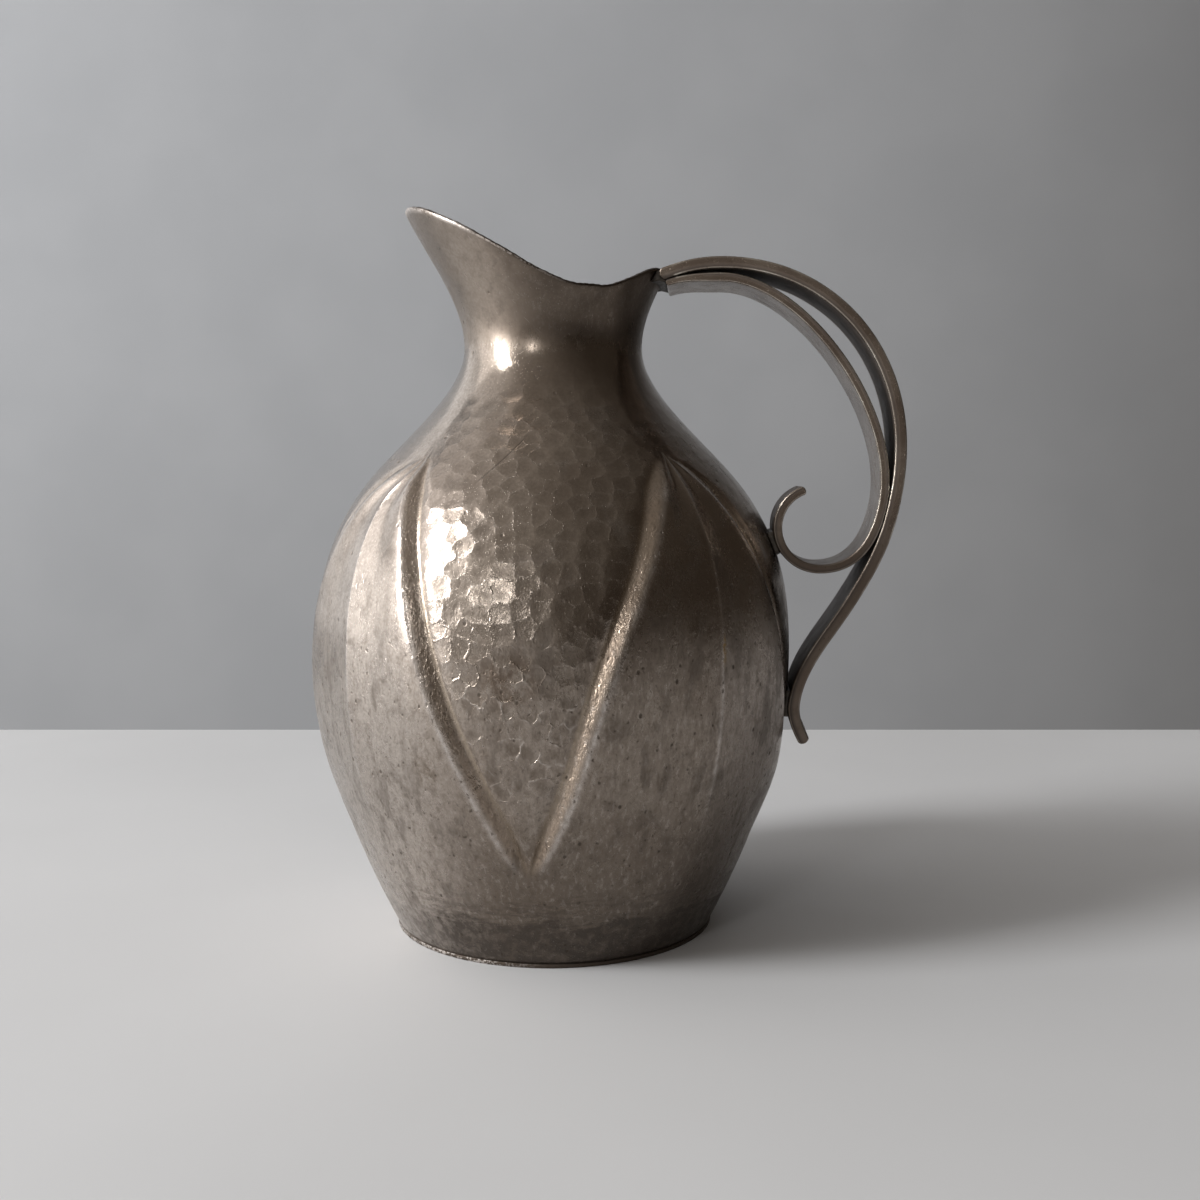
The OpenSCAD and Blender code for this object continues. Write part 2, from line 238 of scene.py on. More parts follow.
# Handle: section of the straps
STRAP_W = 25.0
STRAP_TRIM = 0.12
STRAP_SWAY = 0.1
STRAP_WAVE = 0.06
STRAP_BEVEL = 0.42
BEVEL_MAX_SHARE = 0.8
BEVEL_STEPS = 4
BEVEL_TURN = 30
SIDE_STEPS = 8
EDGE_SHARES = (0.12, 0.5, 0.88)
CAP_SHARE = 0.7
CAP_STEPS = 5
START_RUN = 4.0
START_STEP = 0.01
CLEAR_STEPS = 8
GAP_SHARE = 0.5
GAP_BELOW = -1.0
GAP_ABOVE = 1.0
OUTER_SEED = 1.0
INNER_SEED = 5.0

# Solder: each run's piece, node and unevenness, then its skin as shares, scales and seeds of noise
SOLDER_RUNS = (
    ("solder_straps", "strap_solder", 0.1),
    ("solder_scroll", "scroll_solder", 0.12),
    ("solder_tail", "tail_solder", 0.12),
)
SOLDER_SKIN = ((1.0, 0.8, 3.0), (0.5, 1.84, 8.0))
SOLDER_SINK = 0.6
SOLDER_CELL = 0.3
SOLDER_SOFTEN = 0.5
SOLDER_ROUNDS = 4

# Solder at the rim
RIM_SOLDER_ROWS = 49
RIM_SOLDER_STEPS = 8
RIM_SOLDER_INSET = 0.5
RIM_SOLDER_HOLLOW = 0.5
RIM_INNER_TUCK = 0.25
RIM_OUTER_TUCK = 0.6
RIM_INNER_SHARES = (0.0, 0.2, 0.46)
RIM_OUTER_SHARES = (-0.46, 0.0, 0.34)
RIM_LOW_RISE = 0.3
RIM_HIGH_RISE = 0.15
RIM_BACK_GAP = 0.02
RIM_FRONT_GAP = 0.08
RIM_END_RUN = 0.5
RIM_END_SHRINK = 0.25
RIM_BULGE = 0.12
RIM_BULGE_SCALE = 0.7
RIM_BULGE_SEED = 2.0
RIM_BULGE_WAY = (0.6, 0.0, -0.8)


def smooth(t):
    """Smooth step from 0 to 1."""
    c = np.clip(t, 0.0, 1.0)
    return c * c * (3.0 - 2.0 * c)


def rise(value, fade):
    """Smooth step that begins at a start and takes a length."""
    start, length = fade
    return smooth((value - start) / length)


def mix(a, b, t):
    return a + (b - a) * t


def bell(distance, width):
    return np.exp(-((distance / width) ** 2))


def turned_off(angle, at=0.0):
    """Degrees from a direction, between -180 and 180."""
    return (np.asarray(angle, float) - at + 180.0) % 360.0 - 180.0


def around(radius, angle, z):
    """Points at a radius, an angle from the handle in degrees and a height."""
    turn = np.radians(angle)
    return np.stack([radius * np.cos(turn), radius * np.sin(turn), z], axis=-1)


def outline(z):
    """Radius and outward slope of the plain body at a height."""
    z = np.asarray(z, float)
    radius = np.zeros_like(z)
    slope = np.zeros_like(z)
    for (z0, r0, m0), (z1, r1, m1) in zip(STATIONS, STATIONS[1:]):
        h = z1 - z0
        t = (z - z0) / h
        u = 1.0 - t
        r = r0 * u * u * (1 + 2 * t) + r1 * t * t * (3 - 2 * t) + h * t * u * (m0 * u - m1 * t)
        m = 6 * (r1 - r0) / h * t * u + m0 * u * (1 - 3 * t) + m1 * t * (3 * t - 2)
        here = z >= z0
        radius = np.where(here, r, radius)
        slope = np.where(here, m, slope)
    return radius, slope


def outline_run(z):
    """Distance along the outline at rising heights."""
    _, slope = outline(z)
    return np.concatenate(([0.0], np.cumsum(np.diff(z) * np.sqrt(1.0 + slope[1:] ** 2))))


def inside_radius(z):
    radius, slope = outline(z)
    return radius - WALL * np.sqrt(1.0 + slope**2)


def rim_height(angle):
    off = np.abs(turned_off(angle))
    back = smooth((off - RIM_BACK_ANGLE) / (RIM_LOW_ANGLE - RIM_BACK_ANGLE))
    front = smooth((off - RIM_RISE_ANGLE) / (RIM_LIP_ANGLE - RIM_RISE_ANGLE))
    return np.where(off < RIM_LOW_ANGLE, mix(RIM_BACK_Z, RIM_LOW_Z, back), mix(RIM_LOW_Z, SPOUT_Z, front))


def rim_nick(angle):
    """Depth of the uneven cut along the rim."""
    depth = NICK_LEVEL
    for first, first_shift, second, second_shift, share in NICK_WAVES:
        wave = np.sin(np.radians(angle * first + first_shift))
        wave = wave * np.sin(np.radians(angle * second + second_shift))
        depth = depth + share * wave
    return RIM_NICK * depth


def leaf_half(z):
    """Half a leaf's width in degrees."""
    t = np.clip((LEAF_TIP_Z - z) / (LEAF_TIP_Z - LEAF_FOOT_Z), 0.0, 1.0)
    share = LEAF_ROOT_SHARE * np.sqrt(t) + (1.0 - LEAF_ROOT_SHARE) * t**LEAF_SPREAD_POWER
    return HALF_SPACING * np.clip(share, LEAF_MIN_SHARE, 1.0 - PANEL_MIN_SHARE)


def leaf_lay(z):
    """Leaf half-width, and degrees to one millimetre square to the leaf's edge."""
    radius, slope = outline(z)
    spread = leaf_half(z + LEAN_STEP) - leaf_half(z - LEAN_STEP)
    lean = np.radians(spread) / (2 * LEAN_STEP) * radius
    across = np.maximum(ACROSS_LEAST, 1.0 / np.sqrt(1.0 + lean**2 / (1.0 + slope**2)))
    return leaf_half(z), np.degrees(1.0 / (radius * across))


def column_turn(z):
    """Degrees from the keel of every column in half a leaf spacing, for rows of heights z."""
    half, to_degrees = leaf_lay(z)
    start = half - np.minimum(EDGE_ZONE_IN * to_degrees, EDGE_IN_SHARE * half)
    end = half + np.minimum(EDGE_ZONE_OUT * to_degrees, EDGE_OUT_SHARE * (HALF_SPACING - half))
    k = np.arange(HALF_COLUMNS + 1)
    in_leaf = np.clip(k / LEAF_COLUMNS, 0, 1) ** COLUMN_POWER
    in_edge = np.clip((k - LEAF_COLUMNS) / EDGE_COLUMNS, 0, 1)
    in_panel = np.clip((k - LEAF_COLUMNS - EDGE_COLUMNS) / PANEL_COLUMNS, 0, 1)
    shaped = start[:, None] * in_leaf + (end - start)[:, None] * in_edge
    shaped = shaped + (HALF_SPACING - end)[:, None] * in_panel
    even = (HALF_SPACING * k / HALF_COLUMNS)[None, :]
    above = (z - LEAF_TIP_Z) / (THROAT_Z - LEAF_TIP_Z)
    below = (LEAF_FOOT_Z - z) / LEAF_FOOT_Z
    return mix(shaped, even, smooth(np.maximum(above, below))[:, None])


def leaf_relief(turn, z, soft, pointed):
    """Lift of the leaf work, and shares of groove, crest, keel, plain panel and flank."""
    half, to_degrees = leaf_lay(z)
    half_mm = half / to_degrees
    panel_mm = (HALF_SPACING - half) / to_degrees
    taper = np.clip(half_mm / TIP_TAPER, TAPER_LEAST, 1.0)
    bead_w = np.minimum(BEAD_W, BEAD_MAX_SHARE * half_mm)
    groove_w = np.minimum(GROOVE_W * taper, GROOVE_MAX_SHARE * panel_mm)
    run_w = np.minimum(RUN_W * taper, RUN_MAX_SHARE * panel_mm)
    d = (turn - half) / to_degrees
    depth = (LEAF_TIP_Z - z) / (LEAF_TIP_Z - LEAF_FOOT_Z)
    by_edge = pointed * bell(np.minimum(d, 0.0), FADE_EDGE)
    round_foot = smooth((ROUND_FOOT - depth) / ROUND_FOOT_FADE)
    sharp_foot = smooth((SHARP_FOOT - depth) / SHARP_FOOT_FADE)
    fade = rise(depth, TIP_FADE) * mix(round_foot, sharp_foot, by_edge)
    keel_fade = smooth((1.0 - depth) / KEEL_FADE)
    keel_h = mix(HOLLOW_H, KEEL_H, keel_fade)

    x = np.clip((d + bead_w) / (bead_w + groove_w), 0.0, 1.0)
    slant = mix(BEAD_H, -GROOVE_H, mix(x, smooth(x), soft))
    past = np.clip((d - groove_w) / np.maximum(run_w - groove_w, LEAST_W), 0, 1)
    run = -GROOVE_H * (1.0 - past) ** RUN_POWER
    v = turn / np.maximum(half - bead_w * to_degrees, LEAST_W)
    inner = HOLLOW_H + (BEAD_H - HOLLOW_H) * rise(v, HOLLOW_FADE)
    inner = inner + (keel_h - HOLLOW_H) * np.clip(1.0 - v / KEEL_SHARE, 0, 1) ** KEEL_POWER
    lift = np.where(d < -bead_w, inner, np.where(d < groove_w, slant, run)) * fade

    groove = bell(d - groove_w, GROOVE_LINE) * fade
    crest = bell(d + bead_w, CREST_LINE) * fade
    keel = bell(v * half_mm, KEEL_LINE) * fade * keel_fade
    panel = rise(d, (PANEL_FROM_SHARE * groove_w, PANEL_BLEND))
    panel = np.maximum(panel, rise(z - LEAF_TIP_Z, PANEL_TOP_FADE))
    return lift, groove, crest, keel, panel, bell(d, FLANK_LINE) * fade


def on_flank(angle):
    """1 round both flanks of the jug, 0 under the handle and the spout."""
    return rise(np.abs(np.sin(np.radians(angle))), FLANK_FADE)


def hand_shift(angle, z):
    shift = np.zeros_like(angle)
    for at, spread, height, reach, degrees in HAND_SHIFTS:
        off = turned_off(angle, at)
        shift = shift + degrees * np.exp(-((off / spread) ** 2) - ((z - height) / reach) ** 2)
    return angle + shift


def even_heights(low, high, count):
    """Heights at equal steps along the outline."""
    z = np.linspace(low, high, RUN_STEPS)
    run = outline_run(z)
    return np.interp(np.linspace(0.0, run[-1], count), run, z)


def noise_at(points, scale, seed):
    """Smooth noise from about -1 to 1 at points in millimetres."""
    shift = Vector([share * seed for share in SEED_SHIFT])
    return np.array([noise.noise(Vector(p) * scale + shift) for p in points])


def hammer_centres():
    """Middles of the hammer marks, in rings up the body."""
    rng = np.random.default_rng(SEED)
    fine = np.linspace(MARK_LOW_Z, MARK_HIGH_Z, MARK_RUN_STEPS)
    run = outline_run(fine)
    centres = []
    at = 0.0
    ring = 0
    while at < run[-1]:
        height = float(np.interp(at, run, fine))
        spacing = mix(MARK_RING, MARK_RING_NECK, float(rise(height, MARK_RING_FADE)))
        count = max(MARK_FEWEST, round(2 * math.pi * float(outline(height)[0]) / MARK_SPAN))
        jitter = rng.uniform(-MARK_JITTER, MARK_JITTER, count)
        turns = (np.arange(count) + 0.5 * (ring % 2) + jitter) / count
        runs = at + rng.uniform(-MARK_JITTER, MARK_JITTER, count) * spacing
        heights = np.interp(runs, run, fine)
        centres.extend(around(outline(heights)[0], 360.0 * turns, heights))
        at += spacing
        ring += 1
    return np.array(centres)


def new_piece(name, points, faces, node, material, attributes=()):
    """A closed mesh from points in millimetres that stands for a solid of the frame."""
    mesh = bpy.data.meshes.new(name)
    mesh.from_pydata((np.asarray(points) * MM).tolist(), [], [list(f) for f in faces])
    mesh.polygons.foreach_set("use_smooth", np.ones(len(mesh.polygons), dtype=bool))
    for title, kind, domain, values in attributes:
        layer = mesh.attributes.new(title, kind, domain)
        field = "vector" if kind == "FLOAT_VECTOR" else "value"
        layer.data.foreach_set(field, np.ravel(values).astype(np.float32))
    mesh.materials.append(material)
    mesh.update()
    piece = bpy.data.objects.new(name, mesh)
    bpy.context.scene.collection.objects.link(piece)
    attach(piece, "root")
    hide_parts(node)


def ring_faces(rows, columns, closed_rows):
    """Quads of a grid whose columns close round, and whose rows may too."""
    i = np.arange(rows if closed_rows else rows - 1)[:, None]
    j = np.arange(columns)[None, :]
    up = (i + 1) % rows * columns
    right = (j + 1) % columns
    quads = np.stack([i * columns + j, i * columns + right, up + right, up + j], axis=-1)
    return quads.reshape(-1, 4)


def capped(rows, columns):
    """Faces of a tube of rings, with both ends closed."""
    first = list(range(columns))[::-1]
    last = [(rows - 1) * columns + n for n in range(columns)]
    return ring_faces(rows, columns, False).tolist() + [first, last]


def column_angles(flat_z):
    """Turn from the nearest keel and angle from the handle, for each row and column."""
    turn = column_turn(flat_z)
    up = turn[:, :HALF_COLUMNS]
    down = turn[:, HALF_COLUMNS:0:-1]
    turns = np.concatenate([up, down], axis=1)
    spans = np.concatenate([up, 2 * HALF_SPACING - down], axis=1)
    angle = [HALF_SPACING * (2 * leaf + 1) + spans for leaf in range(LEAVES)]
    return np.tile(turns, (1, LEAVES)), np.concatenate(angle, axis=1)


def body_rows(flat_z, climb):
    """Turns, angles and heights of rows; climb runs from 0 at the throat to 1 at the rim."""
    turn, angle = column_angles(flat_z)
    z = flat_z[:, None] + np.zeros_like(angle)
    angle = hand_shift(angle, z)
    top = rim_height(angle) - LIP_H - rim_nick(angle)
    return turn, angle, np.where(climb[:, None] > 0, mix(THROAT_Z, top, climb[:, None]), z)


def mark_share(panel, angle, z):
    """How far hammer marks show: on panels and shoulder, less by the handle, the spout and the neck."""
    from_handle = np.abs(turned_off(angle))
    by_spout = rise(from_handle, MARK_SPOUT_FADE) * rise(z, MARK_SPOUT_Z_FADE)
    share = panel * rise(z, MARK_FOOT_FADE) * (1.0 - MARK_NECK_LOSS * rise(z, MARK_NECK_FADE))
    share = share * (1.0 - rise(z, MARK_TOP_FADE))
    share = share * mix(MARK_FAINT, 1.0, rise(from_handle, MARK_HANDLE_FADE))
    share = share * mix(1.0, MARK_FAINT, by_spout)
    return np.where(share > MARK_LEAST, share, 0.0)


def build_body(material):
    low = even_heights(BASE_T, THROAT_Z, LOW_ROWS + 1)
    flat_z = np.concatenate([low, np.full(HIGH_ROWS, THROAT_Z)])
    climb = np.concatenate([np.zeros(LOW_ROWS + 1), np.arange(1, HIGH_ROWS + 1) / HIGH_ROWS])
    turn, angle, z = body_rows(flat_z, climb)
    soft = np.tile(np.repeat((CRISP_FLANK, ROUND_FLANK), HALF_COLUMNS), LEAVES)[None, :]
    relief = leaf_relief(turn, np.minimum(z, THROAT_Z), soft, on_flank(angle))
    lift, groove, crest, keel, panel, flank = relief
    radius, _ = outline(z)

    # Hammer marks cut flat facets into the panels and the shoulder
    centres = hammer_centres()
    tree = KDTree(len(centres))
    for index, centre in enumerate(centres):
        tree.insert(centre, index)
    tree.balance()
    plain = around(radius, angle, z).reshape(-1, 3)
    mark = mark_share(panel, angle, z)
    dip = np.zeros(mark.size)
    for index in np.nonzero(mark.reshape(-1) > 0.0)[0]:
        off = tree.find(plain[index])[2]
        dip[index] = min(off, MARK_REACH) ** 2 - MARK_REACH**2
    radius = radius + lift + MARK_MESH * dip.reshape(mark.shape) * mark
    outer = around(radius, angle, z)

    # Inside of the sheet, from the rim down
    in_low = even_heights(BASE_T, THROAT_Z, INNER_LOW_ROWS + 1)[::-1]
    in_flat_z = np.concatenate([np.full(INNER_HIGH_ROWS, THROAT_Z), in_low])
    in_climb = np.arange(INNER_HIGH_ROWS, 0, -1) / INNER_HIGH_ROWS
    in_climb = np.concatenate([in_climb, np.zeros(INNER_LOW_ROWS + 1)])
    in_turn, in_angle, in_z = body_rows(in_flat_z, in_climb)
    in_lift = leaf_relief(in_turn, np.minimum(in_z, THROAT_Z), soft, on_flank(in_angle))[0]
    inner = around(inside_radius(in_z) + in_lift, in_angle, in_z)

    # Rounded lip between both
    bend = (np.arange(1, LIP_ROWS + 1) / (LIP_ROWS + 1) * math.pi)[:, None, None]
    middle = (outer[-1] + inner[0]) / 2
    half_wall = (outer[-1] - inner[0]) / 2
    lip = middle[None] + half_wall[None] * np.cos(bend)
    lip[..., 2] += LIP_H * np.sin(bend[..., 0])

    points = np.concatenate([outer, lip, inner], axis=0).reshape(-1, 3)
    faces = ring_faces(len(points) // COLUMNS, COLUMNS, True)

    def whole(values, lip_value, inner_value):
        """A value for every point: as given outside, and even on the lip and inside."""
        on_lip = np.full((LIP_ROWS, COLUMNS), lip_value)
        return np.concatenate([values, on_lip, np.full(in_z.shape, inner_value)]).reshape(-1)

    marked = whole(mark, 0.0, 0.0)
    middles = points[faces].mean(axis=1)
    nearest = [np.zeros_like(middles) for _ in range(NEAR_MARKS)]
    for index in np.nonzero(marked[faces].max(axis=1) > 0.0)[0]:
        for which, (centre, _, _) in enumerate(tree.find_n(middles[index], NEAR_MARKS)):
            nearest[which][index] = centre
    # A band along the rim: painted shade along the lip, with painted highlights laid over its lit side
    worn = smooth((z - (rim_height(angle) - LIP_SHADE_DEPTH)) / LIP_SHADE_BLEND)
    attributes = [
        ("groove", "FLOAT", "POINT", whole(groove, 0.0, 0.0)),
        ("crest", "FLOAT", "POINT", whole(np.maximum(crest, KEEL_CREST_SHARE * keel), 0.0, 0.0)),
        ("flank", "FLOAT", "POINT", whole(flank, 0.0, 0.0)),
        ("mark", "FLOAT", "POINT", marked),
        ("lip", "FLOAT", "POINT", whole(worn, 1.0, 0.0)),
        ("inside", "FLOAT", "POINT", whole(np.zeros_like(z), LIP_INSIDE, 1.0))]
    attributes += [("mark_" + str(n), "FLOAT_VECTOR", "FACE", nearest[n] * MM) for n in range(NEAR_MARKS)]
    new_piece("jug_body", points, faces, "body_shell", material, attributes)


def lathe(profile, columns):
    """Points of an outline of radius and height turned round the axis."""
    turn = 2 * math.pi * np.arange(columns) / columns
    rings = []
    for r, z in profile:
        rings.append(np.stack([r * np.cos(turn), r * np.sin(turn), np.full(columns, z)], axis=-1))
    return np.concatenate(rings)


def build_base(material):
    edge_r = float(outline(BASE_T)[0]) + BASE_LIP
    flat_r = [BASE_HUB_R] + [edge_r - inward for inward in BASE_RINGS_IN + (BASE_LIP,)]
    side = [
        (edge_r - BASE_ROUND, BASE_ROUND_LOW),
        (edge_r, BASE_LIP),
        (edge_r, BASE_T - BASE_SIDE_TOP),
        (edge_r - BASE_ROUND, BASE_T - BASE_ROUND_TOP)]
    profile = [(r, 0.0) for r in flat_r] + side + [(r, BASE_T) for r in flat_r[::-1]]
    points = lathe(profile, BASE_COLUMNS)
    rims = np.repeat([0.0] * len(flat_r) + [1.0] * len(side) + [0.0] * len(flat_r), BASE_COLUMNS)
    bite = noise_at(points, BITE_SCALE, BITE_SEED) * BITE_DEPTH
    reach = np.hypot(points[:, 0], points[:, 1])
    pull = np.where(rims > 0, 1.0 - np.abs(bite) / reach, 1.0)
    points = points * np.stack([pull, pull, np.ones_like(pull)], axis=-1)
    faces = capped(len(profile), BASE_COLUMNS)
    attributes = [("edge", "FLOAT", "POINT", rims)]
    new_piece("jug_base", points, faces, "base_disc", material, attributes)


def build_seam(material):
    def wall_at(height):
        z = BASE_T + height
        return float(inside_radius(z)) - SEAT / 2, z

    corner = wall_at(0.0)
    top = wall_at(BASE_FILLET)
    low = (corner[0] - BASE_FILLET, BASE_T)
    profile = [low, corner, wall_at(BASE_FILLET / 2), top]
    for s in range(1, SEAM_STEPS):
        share = s / SEAM_STEPS
        place = mix(np.array(top), np.array(low), share) + np.array(SEAM_SAG) * math.sin(math.pi * share)
        profile.append((float(place[0]), float(place[1])))
    points = lathe(profile, SEAM_COLUMNS)
    faces = ring_faces(len(profile), SEAM_COLUMNS, True)
    new_piece("jug_seam", points, faces, "base_seam", material)


def toward(heading):
    return np.array((math.cos(math.radians(heading)), math.sin(math.radians(heading))))


def left_of(d):
    return np.array((-d[1], d[0]))


def off_body(z, distance):
    """Place in the handle's plane at a distance square to the body's outline."""
    radius, slope = (float(value) for value in outline(z))
    return np.array((radius, z)) + np.array((1.0, -slope)) / math.sqrt(1 + slope**2) * distance


def knot_line(knots):
    """Points along smooth curves through knots of place, heading and reach."""
    line = []
    for (a, heading_a, reach), (d, heading_d, _) in zip(knots, knots[1:]):
        chord = d - a
        b = a + toward(heading_a) * abs(chord @ toward(heading_a)) * reach
        c = d - toward(heading_d) * abs(chord @ toward(heading_d)) * reach
        steps = math.ceil(np.linalg.norm(chord) / STRAP_STEP)
        for s in range(steps):
            t = s / steps
            u = 1 - t
            line.append(a * u**3 + b * 3 * u * u * t + c * 3 * u * t * t + d * t**3)
    line.append(knots[-1][0])
    return line


def handle_lines():
    """Middle lines of the outer and the inner strap, in the handle's plane."""
    outer_start = off_body(RIM_BACK_Z - END_DROP, SEAT)
    start_way = toward(OUTER_HEADING)
    outer_end = outer_start + start_way * (OUTER_T / 2 * CAP_SHARE - END_TUCK)
    crown = np.array((outer_start[0] + CROWN_RUN, RIM_BACK_Z + CROWN_RISE - OUTER_T / 2))
    reach_x = BELLY_R + HANDLE_OUT - OUTER_T / 2
    scroll_z = BELLY_Z + SCROLL_RISE
    joint_z = scroll_z + JOINT_RISE
    tail_z = scroll_z - STRUT_FALL
    reach = np.array((reach_x, joint_z + REACH_RISE))
    joint = np.array((reach_x - JOINT_IN, joint_z))
    tail = off_body(tail_z, SEAT + OUTER_T / 2)
    lean = math.degrees(math.atan2(tail[1] - joint[1], tail[0] - joint[0]))
    joint_heading = -90 - 2 * math.degrees(math.atan(JOINT_IN / REACH_RISE)) * JOINT_TURN_SHARE
    strut = mix(joint, tail, STRUT_SHARE) + left_of(toward(lean)) * STRUT_BULGE
    tail_heading = -90 - math.degrees(math.atan(float(outline(tail_z)[1])))
    outer = knot_line([
        (outer_end, OUTER_HEADING, ARM_SHARE),
        (crown, 0.0, OUTER_ARM_SHARE),
        (reach, -90.0, ARM_SHARE),
        (joint, joint_heading, ARM_SHARE),
        (strut, lean - STRUT_TURN, ARM_SHARE),
        (tail, tail_heading, ARM_SHARE),
        (tail + np.array((TAIL_FLICK, -TAIL_DROP)), TAIL_HEADING, 0.0)])

    pitch = (OUTER_T + INNER_T) / 2
    inner_start = outer_start + start_way * INNER_SETBACK - left_of(start_way) * (pitch + SEAT)
    inner_crown = np.array((crown[0], crown[1] - pitch - CROWN_GAP))
    inner_joint = joint - left_of(toward(joint_heading)) * (pitch + SEAT)
    scroll_r = (inner_joint[0] - float(outline(scroll_z)[0])) * SCROLL_SHARE
    centre = off_body(scroll_z, SEAT + INNER_T / 2 + scroll_r)
    inner = knot_line([
        (inner_start, INNER_HEADING, ARM_SHARE),
        (inner_crown, 0.0, INNER_ARM_SHARE),
        (inner_joint, joint_heading, SCROLL_ARM_SHARE),
        (centre - np.array((0.0, scroll_r)), -180.0, 0.0)])
    steps = math.ceil(scroll_r * math.radians(SCROLL_FOOT - SCROLL_END) / STRAP_STEP)
    for s in range(1, steps + 1):
        share = s / steps
        way = toward(mix(SCROLL_FOOT, SCROLL_END, share))
        inner.append(centre + way * scroll_r * mix(1.0, SCROLL_TIP_SHARE, share**2))
    return np.array(outer), np.array(inner)


def clear_of_body(points, way, step):
    """Moves points that lie inside the body's outline out of it along a way in the handle's plane."""
    for _ in range(CLEAR_STEPS):
        radius, slope = outline(points[:, 2])
        inside = radius + step * np.sqrt(1.0 + slope**2) - np.hypot(points[:, 0], points[:, 1])
        push = np.maximum(inside, 0.0)
        points = points + push[:, None] * np.array((way[0], 0.0, way[1]))[None, :]
    return points


def strap_section(half_w, half_t, bevel):
    """Outline of a flat strap's section with rounded corners, and how far each point is edge."""
    points = []
    edge = []
    corners = ((1, 1, 0), (-1, 1, 90), (-1, -1, 180), (1, -1, 270))
    for n, (sx, sy, start) in enumerate(corners):
        x0 = sx * (half_w - bevel)
        y0 = sy * (half_t - bevel)
        turns = [math.radians(start + BEVEL_TURN * b) for b in range(BEVEL_STEPS)]
        points += [(x0 + bevel * math.cos(a), y0 + bevel * math.sin(a)) for a in turns]
        if n % 2 == 0:
            side = [(mix(x0, -x0, s / SIDE_STEPS), sy * half_t) for s in range(1, SIDE_STEPS)]
        else:
            side = [(sx * half_w, mix(y0, -y0, share)) for share in EDGE_SHARES]
        points += side
        edge += [1.0] * BEVEL_STEPS + [0.0] * len(side)
    return np.array(points), np.array(edge)


def outer_thickness(run):
    return OUTER_T


def inner_thickness(run):
    return mix(INNER_TIP_T, INNER_T, float(smooth(run / INNER_TIP_RUN)))


def build_strap(name, node, line, thick_at, material, seed, gap_side):
    """A bevelled flat strap along its middle line, with rounded ends and one face to the gap."""
    last = len(line) - 1
    index = np.arange(last + 1)
    ahead = line[np.minimum(index + 1, last)] - line[np.maximum(index - 1, 0)]
    ahead = ahead / np.linalg.norm(ahead, axis=1)[:, None]
    run = np.concatenate(([0.0], np.cumsum(np.linalg.norm(np.diff(line, axis=0), axis=1))))
    bends = [math.pi / 2 * s / CAP_STEPS for s in range(1, CAP_STEPS)]
    rings = [(0, -math.sin(a), math.cos(a)) for a in bends[::-1]]
    rings += [(i, 0.0, 1.0) for i in range(last + 1)]
    rings += [(last, math.sin(a), math.cos(a)) for a in bends]
    points = []
    edges = []
    gaps = []
    full_t = thick_at(run[-1])
    for ring, (i, past, share) in enumerate(rings):
        half_t = thick_at(run[i]) / 2
        side = left_of(ahead[i])
        middle = line[i] + ahead[i] * past * half_t * CAP_SHARE + side * (full_t / 2 - half_t)
        flat = half_t * share
        wave = noise.noise(Vector((run[i] * STRAP_WAVE, seed, 0.0)))
        half_w = STRAP_W / 2 - STRAP_TRIM + STRAP_SWAY * wave
        section, edge = strap_section(half_w, flat, min(STRAP_BEVEL, BEVEL_MAX_SHARE * flat))
        xz = middle[None, :] + section[:, 1:2] * side[None, :]
        loop = np.stack([xz[:, 0], section[:, 0], xz[:, 1]], axis=-1)
        if run[i] < START_RUN:
            loop = clear_of_body(loop, ahead[0], SEAT + START_STEP * ring)
        points.append(loop)
        # Edges and rounded ends, lightened in strap_material as wear with painted highlights
        worn = np.maximum(edge, 1.0 - share**2)
        edges.append(worn * float(smooth(run[i] / START_RUN)))
        # Faces towards the gap between the straps, painted dark as shade in strap_material
        gaps.append((gap_side * section[:, 1] > GAP_SHARE * flat).astype(float))
    faces = capped(len(points), len(points[0]))
    attributes = [
        ("edge", "FLOAT", "POINT", np.concatenate(edges)),
        ("gap", "FLOAT", "POINT", np.concatenate(gaps))]
    new_piece(name, np.concatenate(points), faces, node, material, attributes)


def build_solder(name, node, material, unevenness):
    """A solder run: the frame's solid with softened corners and an uneven skin."""
    work = bpy.data.objects.new(name + "_work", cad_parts[node].data.copy())
    bpy.context.scene.collection.objects.link(work)
    remesh = work.modifiers.new("cells", "REMESH")
    remesh.mode = "VOXEL"
    remesh.voxel_size = SOLDER_CELL * MM
    soften = work.modifiers.new("soften", "SMOOTH")
    soften.factor = SOLDER_SOFTEN
    soften.iterations = SOLDER_ROUNDS
    shown = work.evaluated_get(bpy.context.evaluated_depsgraph_get())
    made = shown.to_mesh()
    points = np.array([v.co for v in made.vertices]) / MM
    normals = np.array([v.normal for v in made.vertices])
    faces = [list(p.vertices) for p in made.polygons]
    shown.to_mesh_clear()
    bpy.data.objects.remove(work)
    skin = sum(share * noise_at(points, scale, seed) for share, scale, seed in SOLDER_SKIN)
    lift = unevenness * (skin - SOLDER_SINK)
    new_piece(name, points + normals * lift[:, None], faces, node, material)


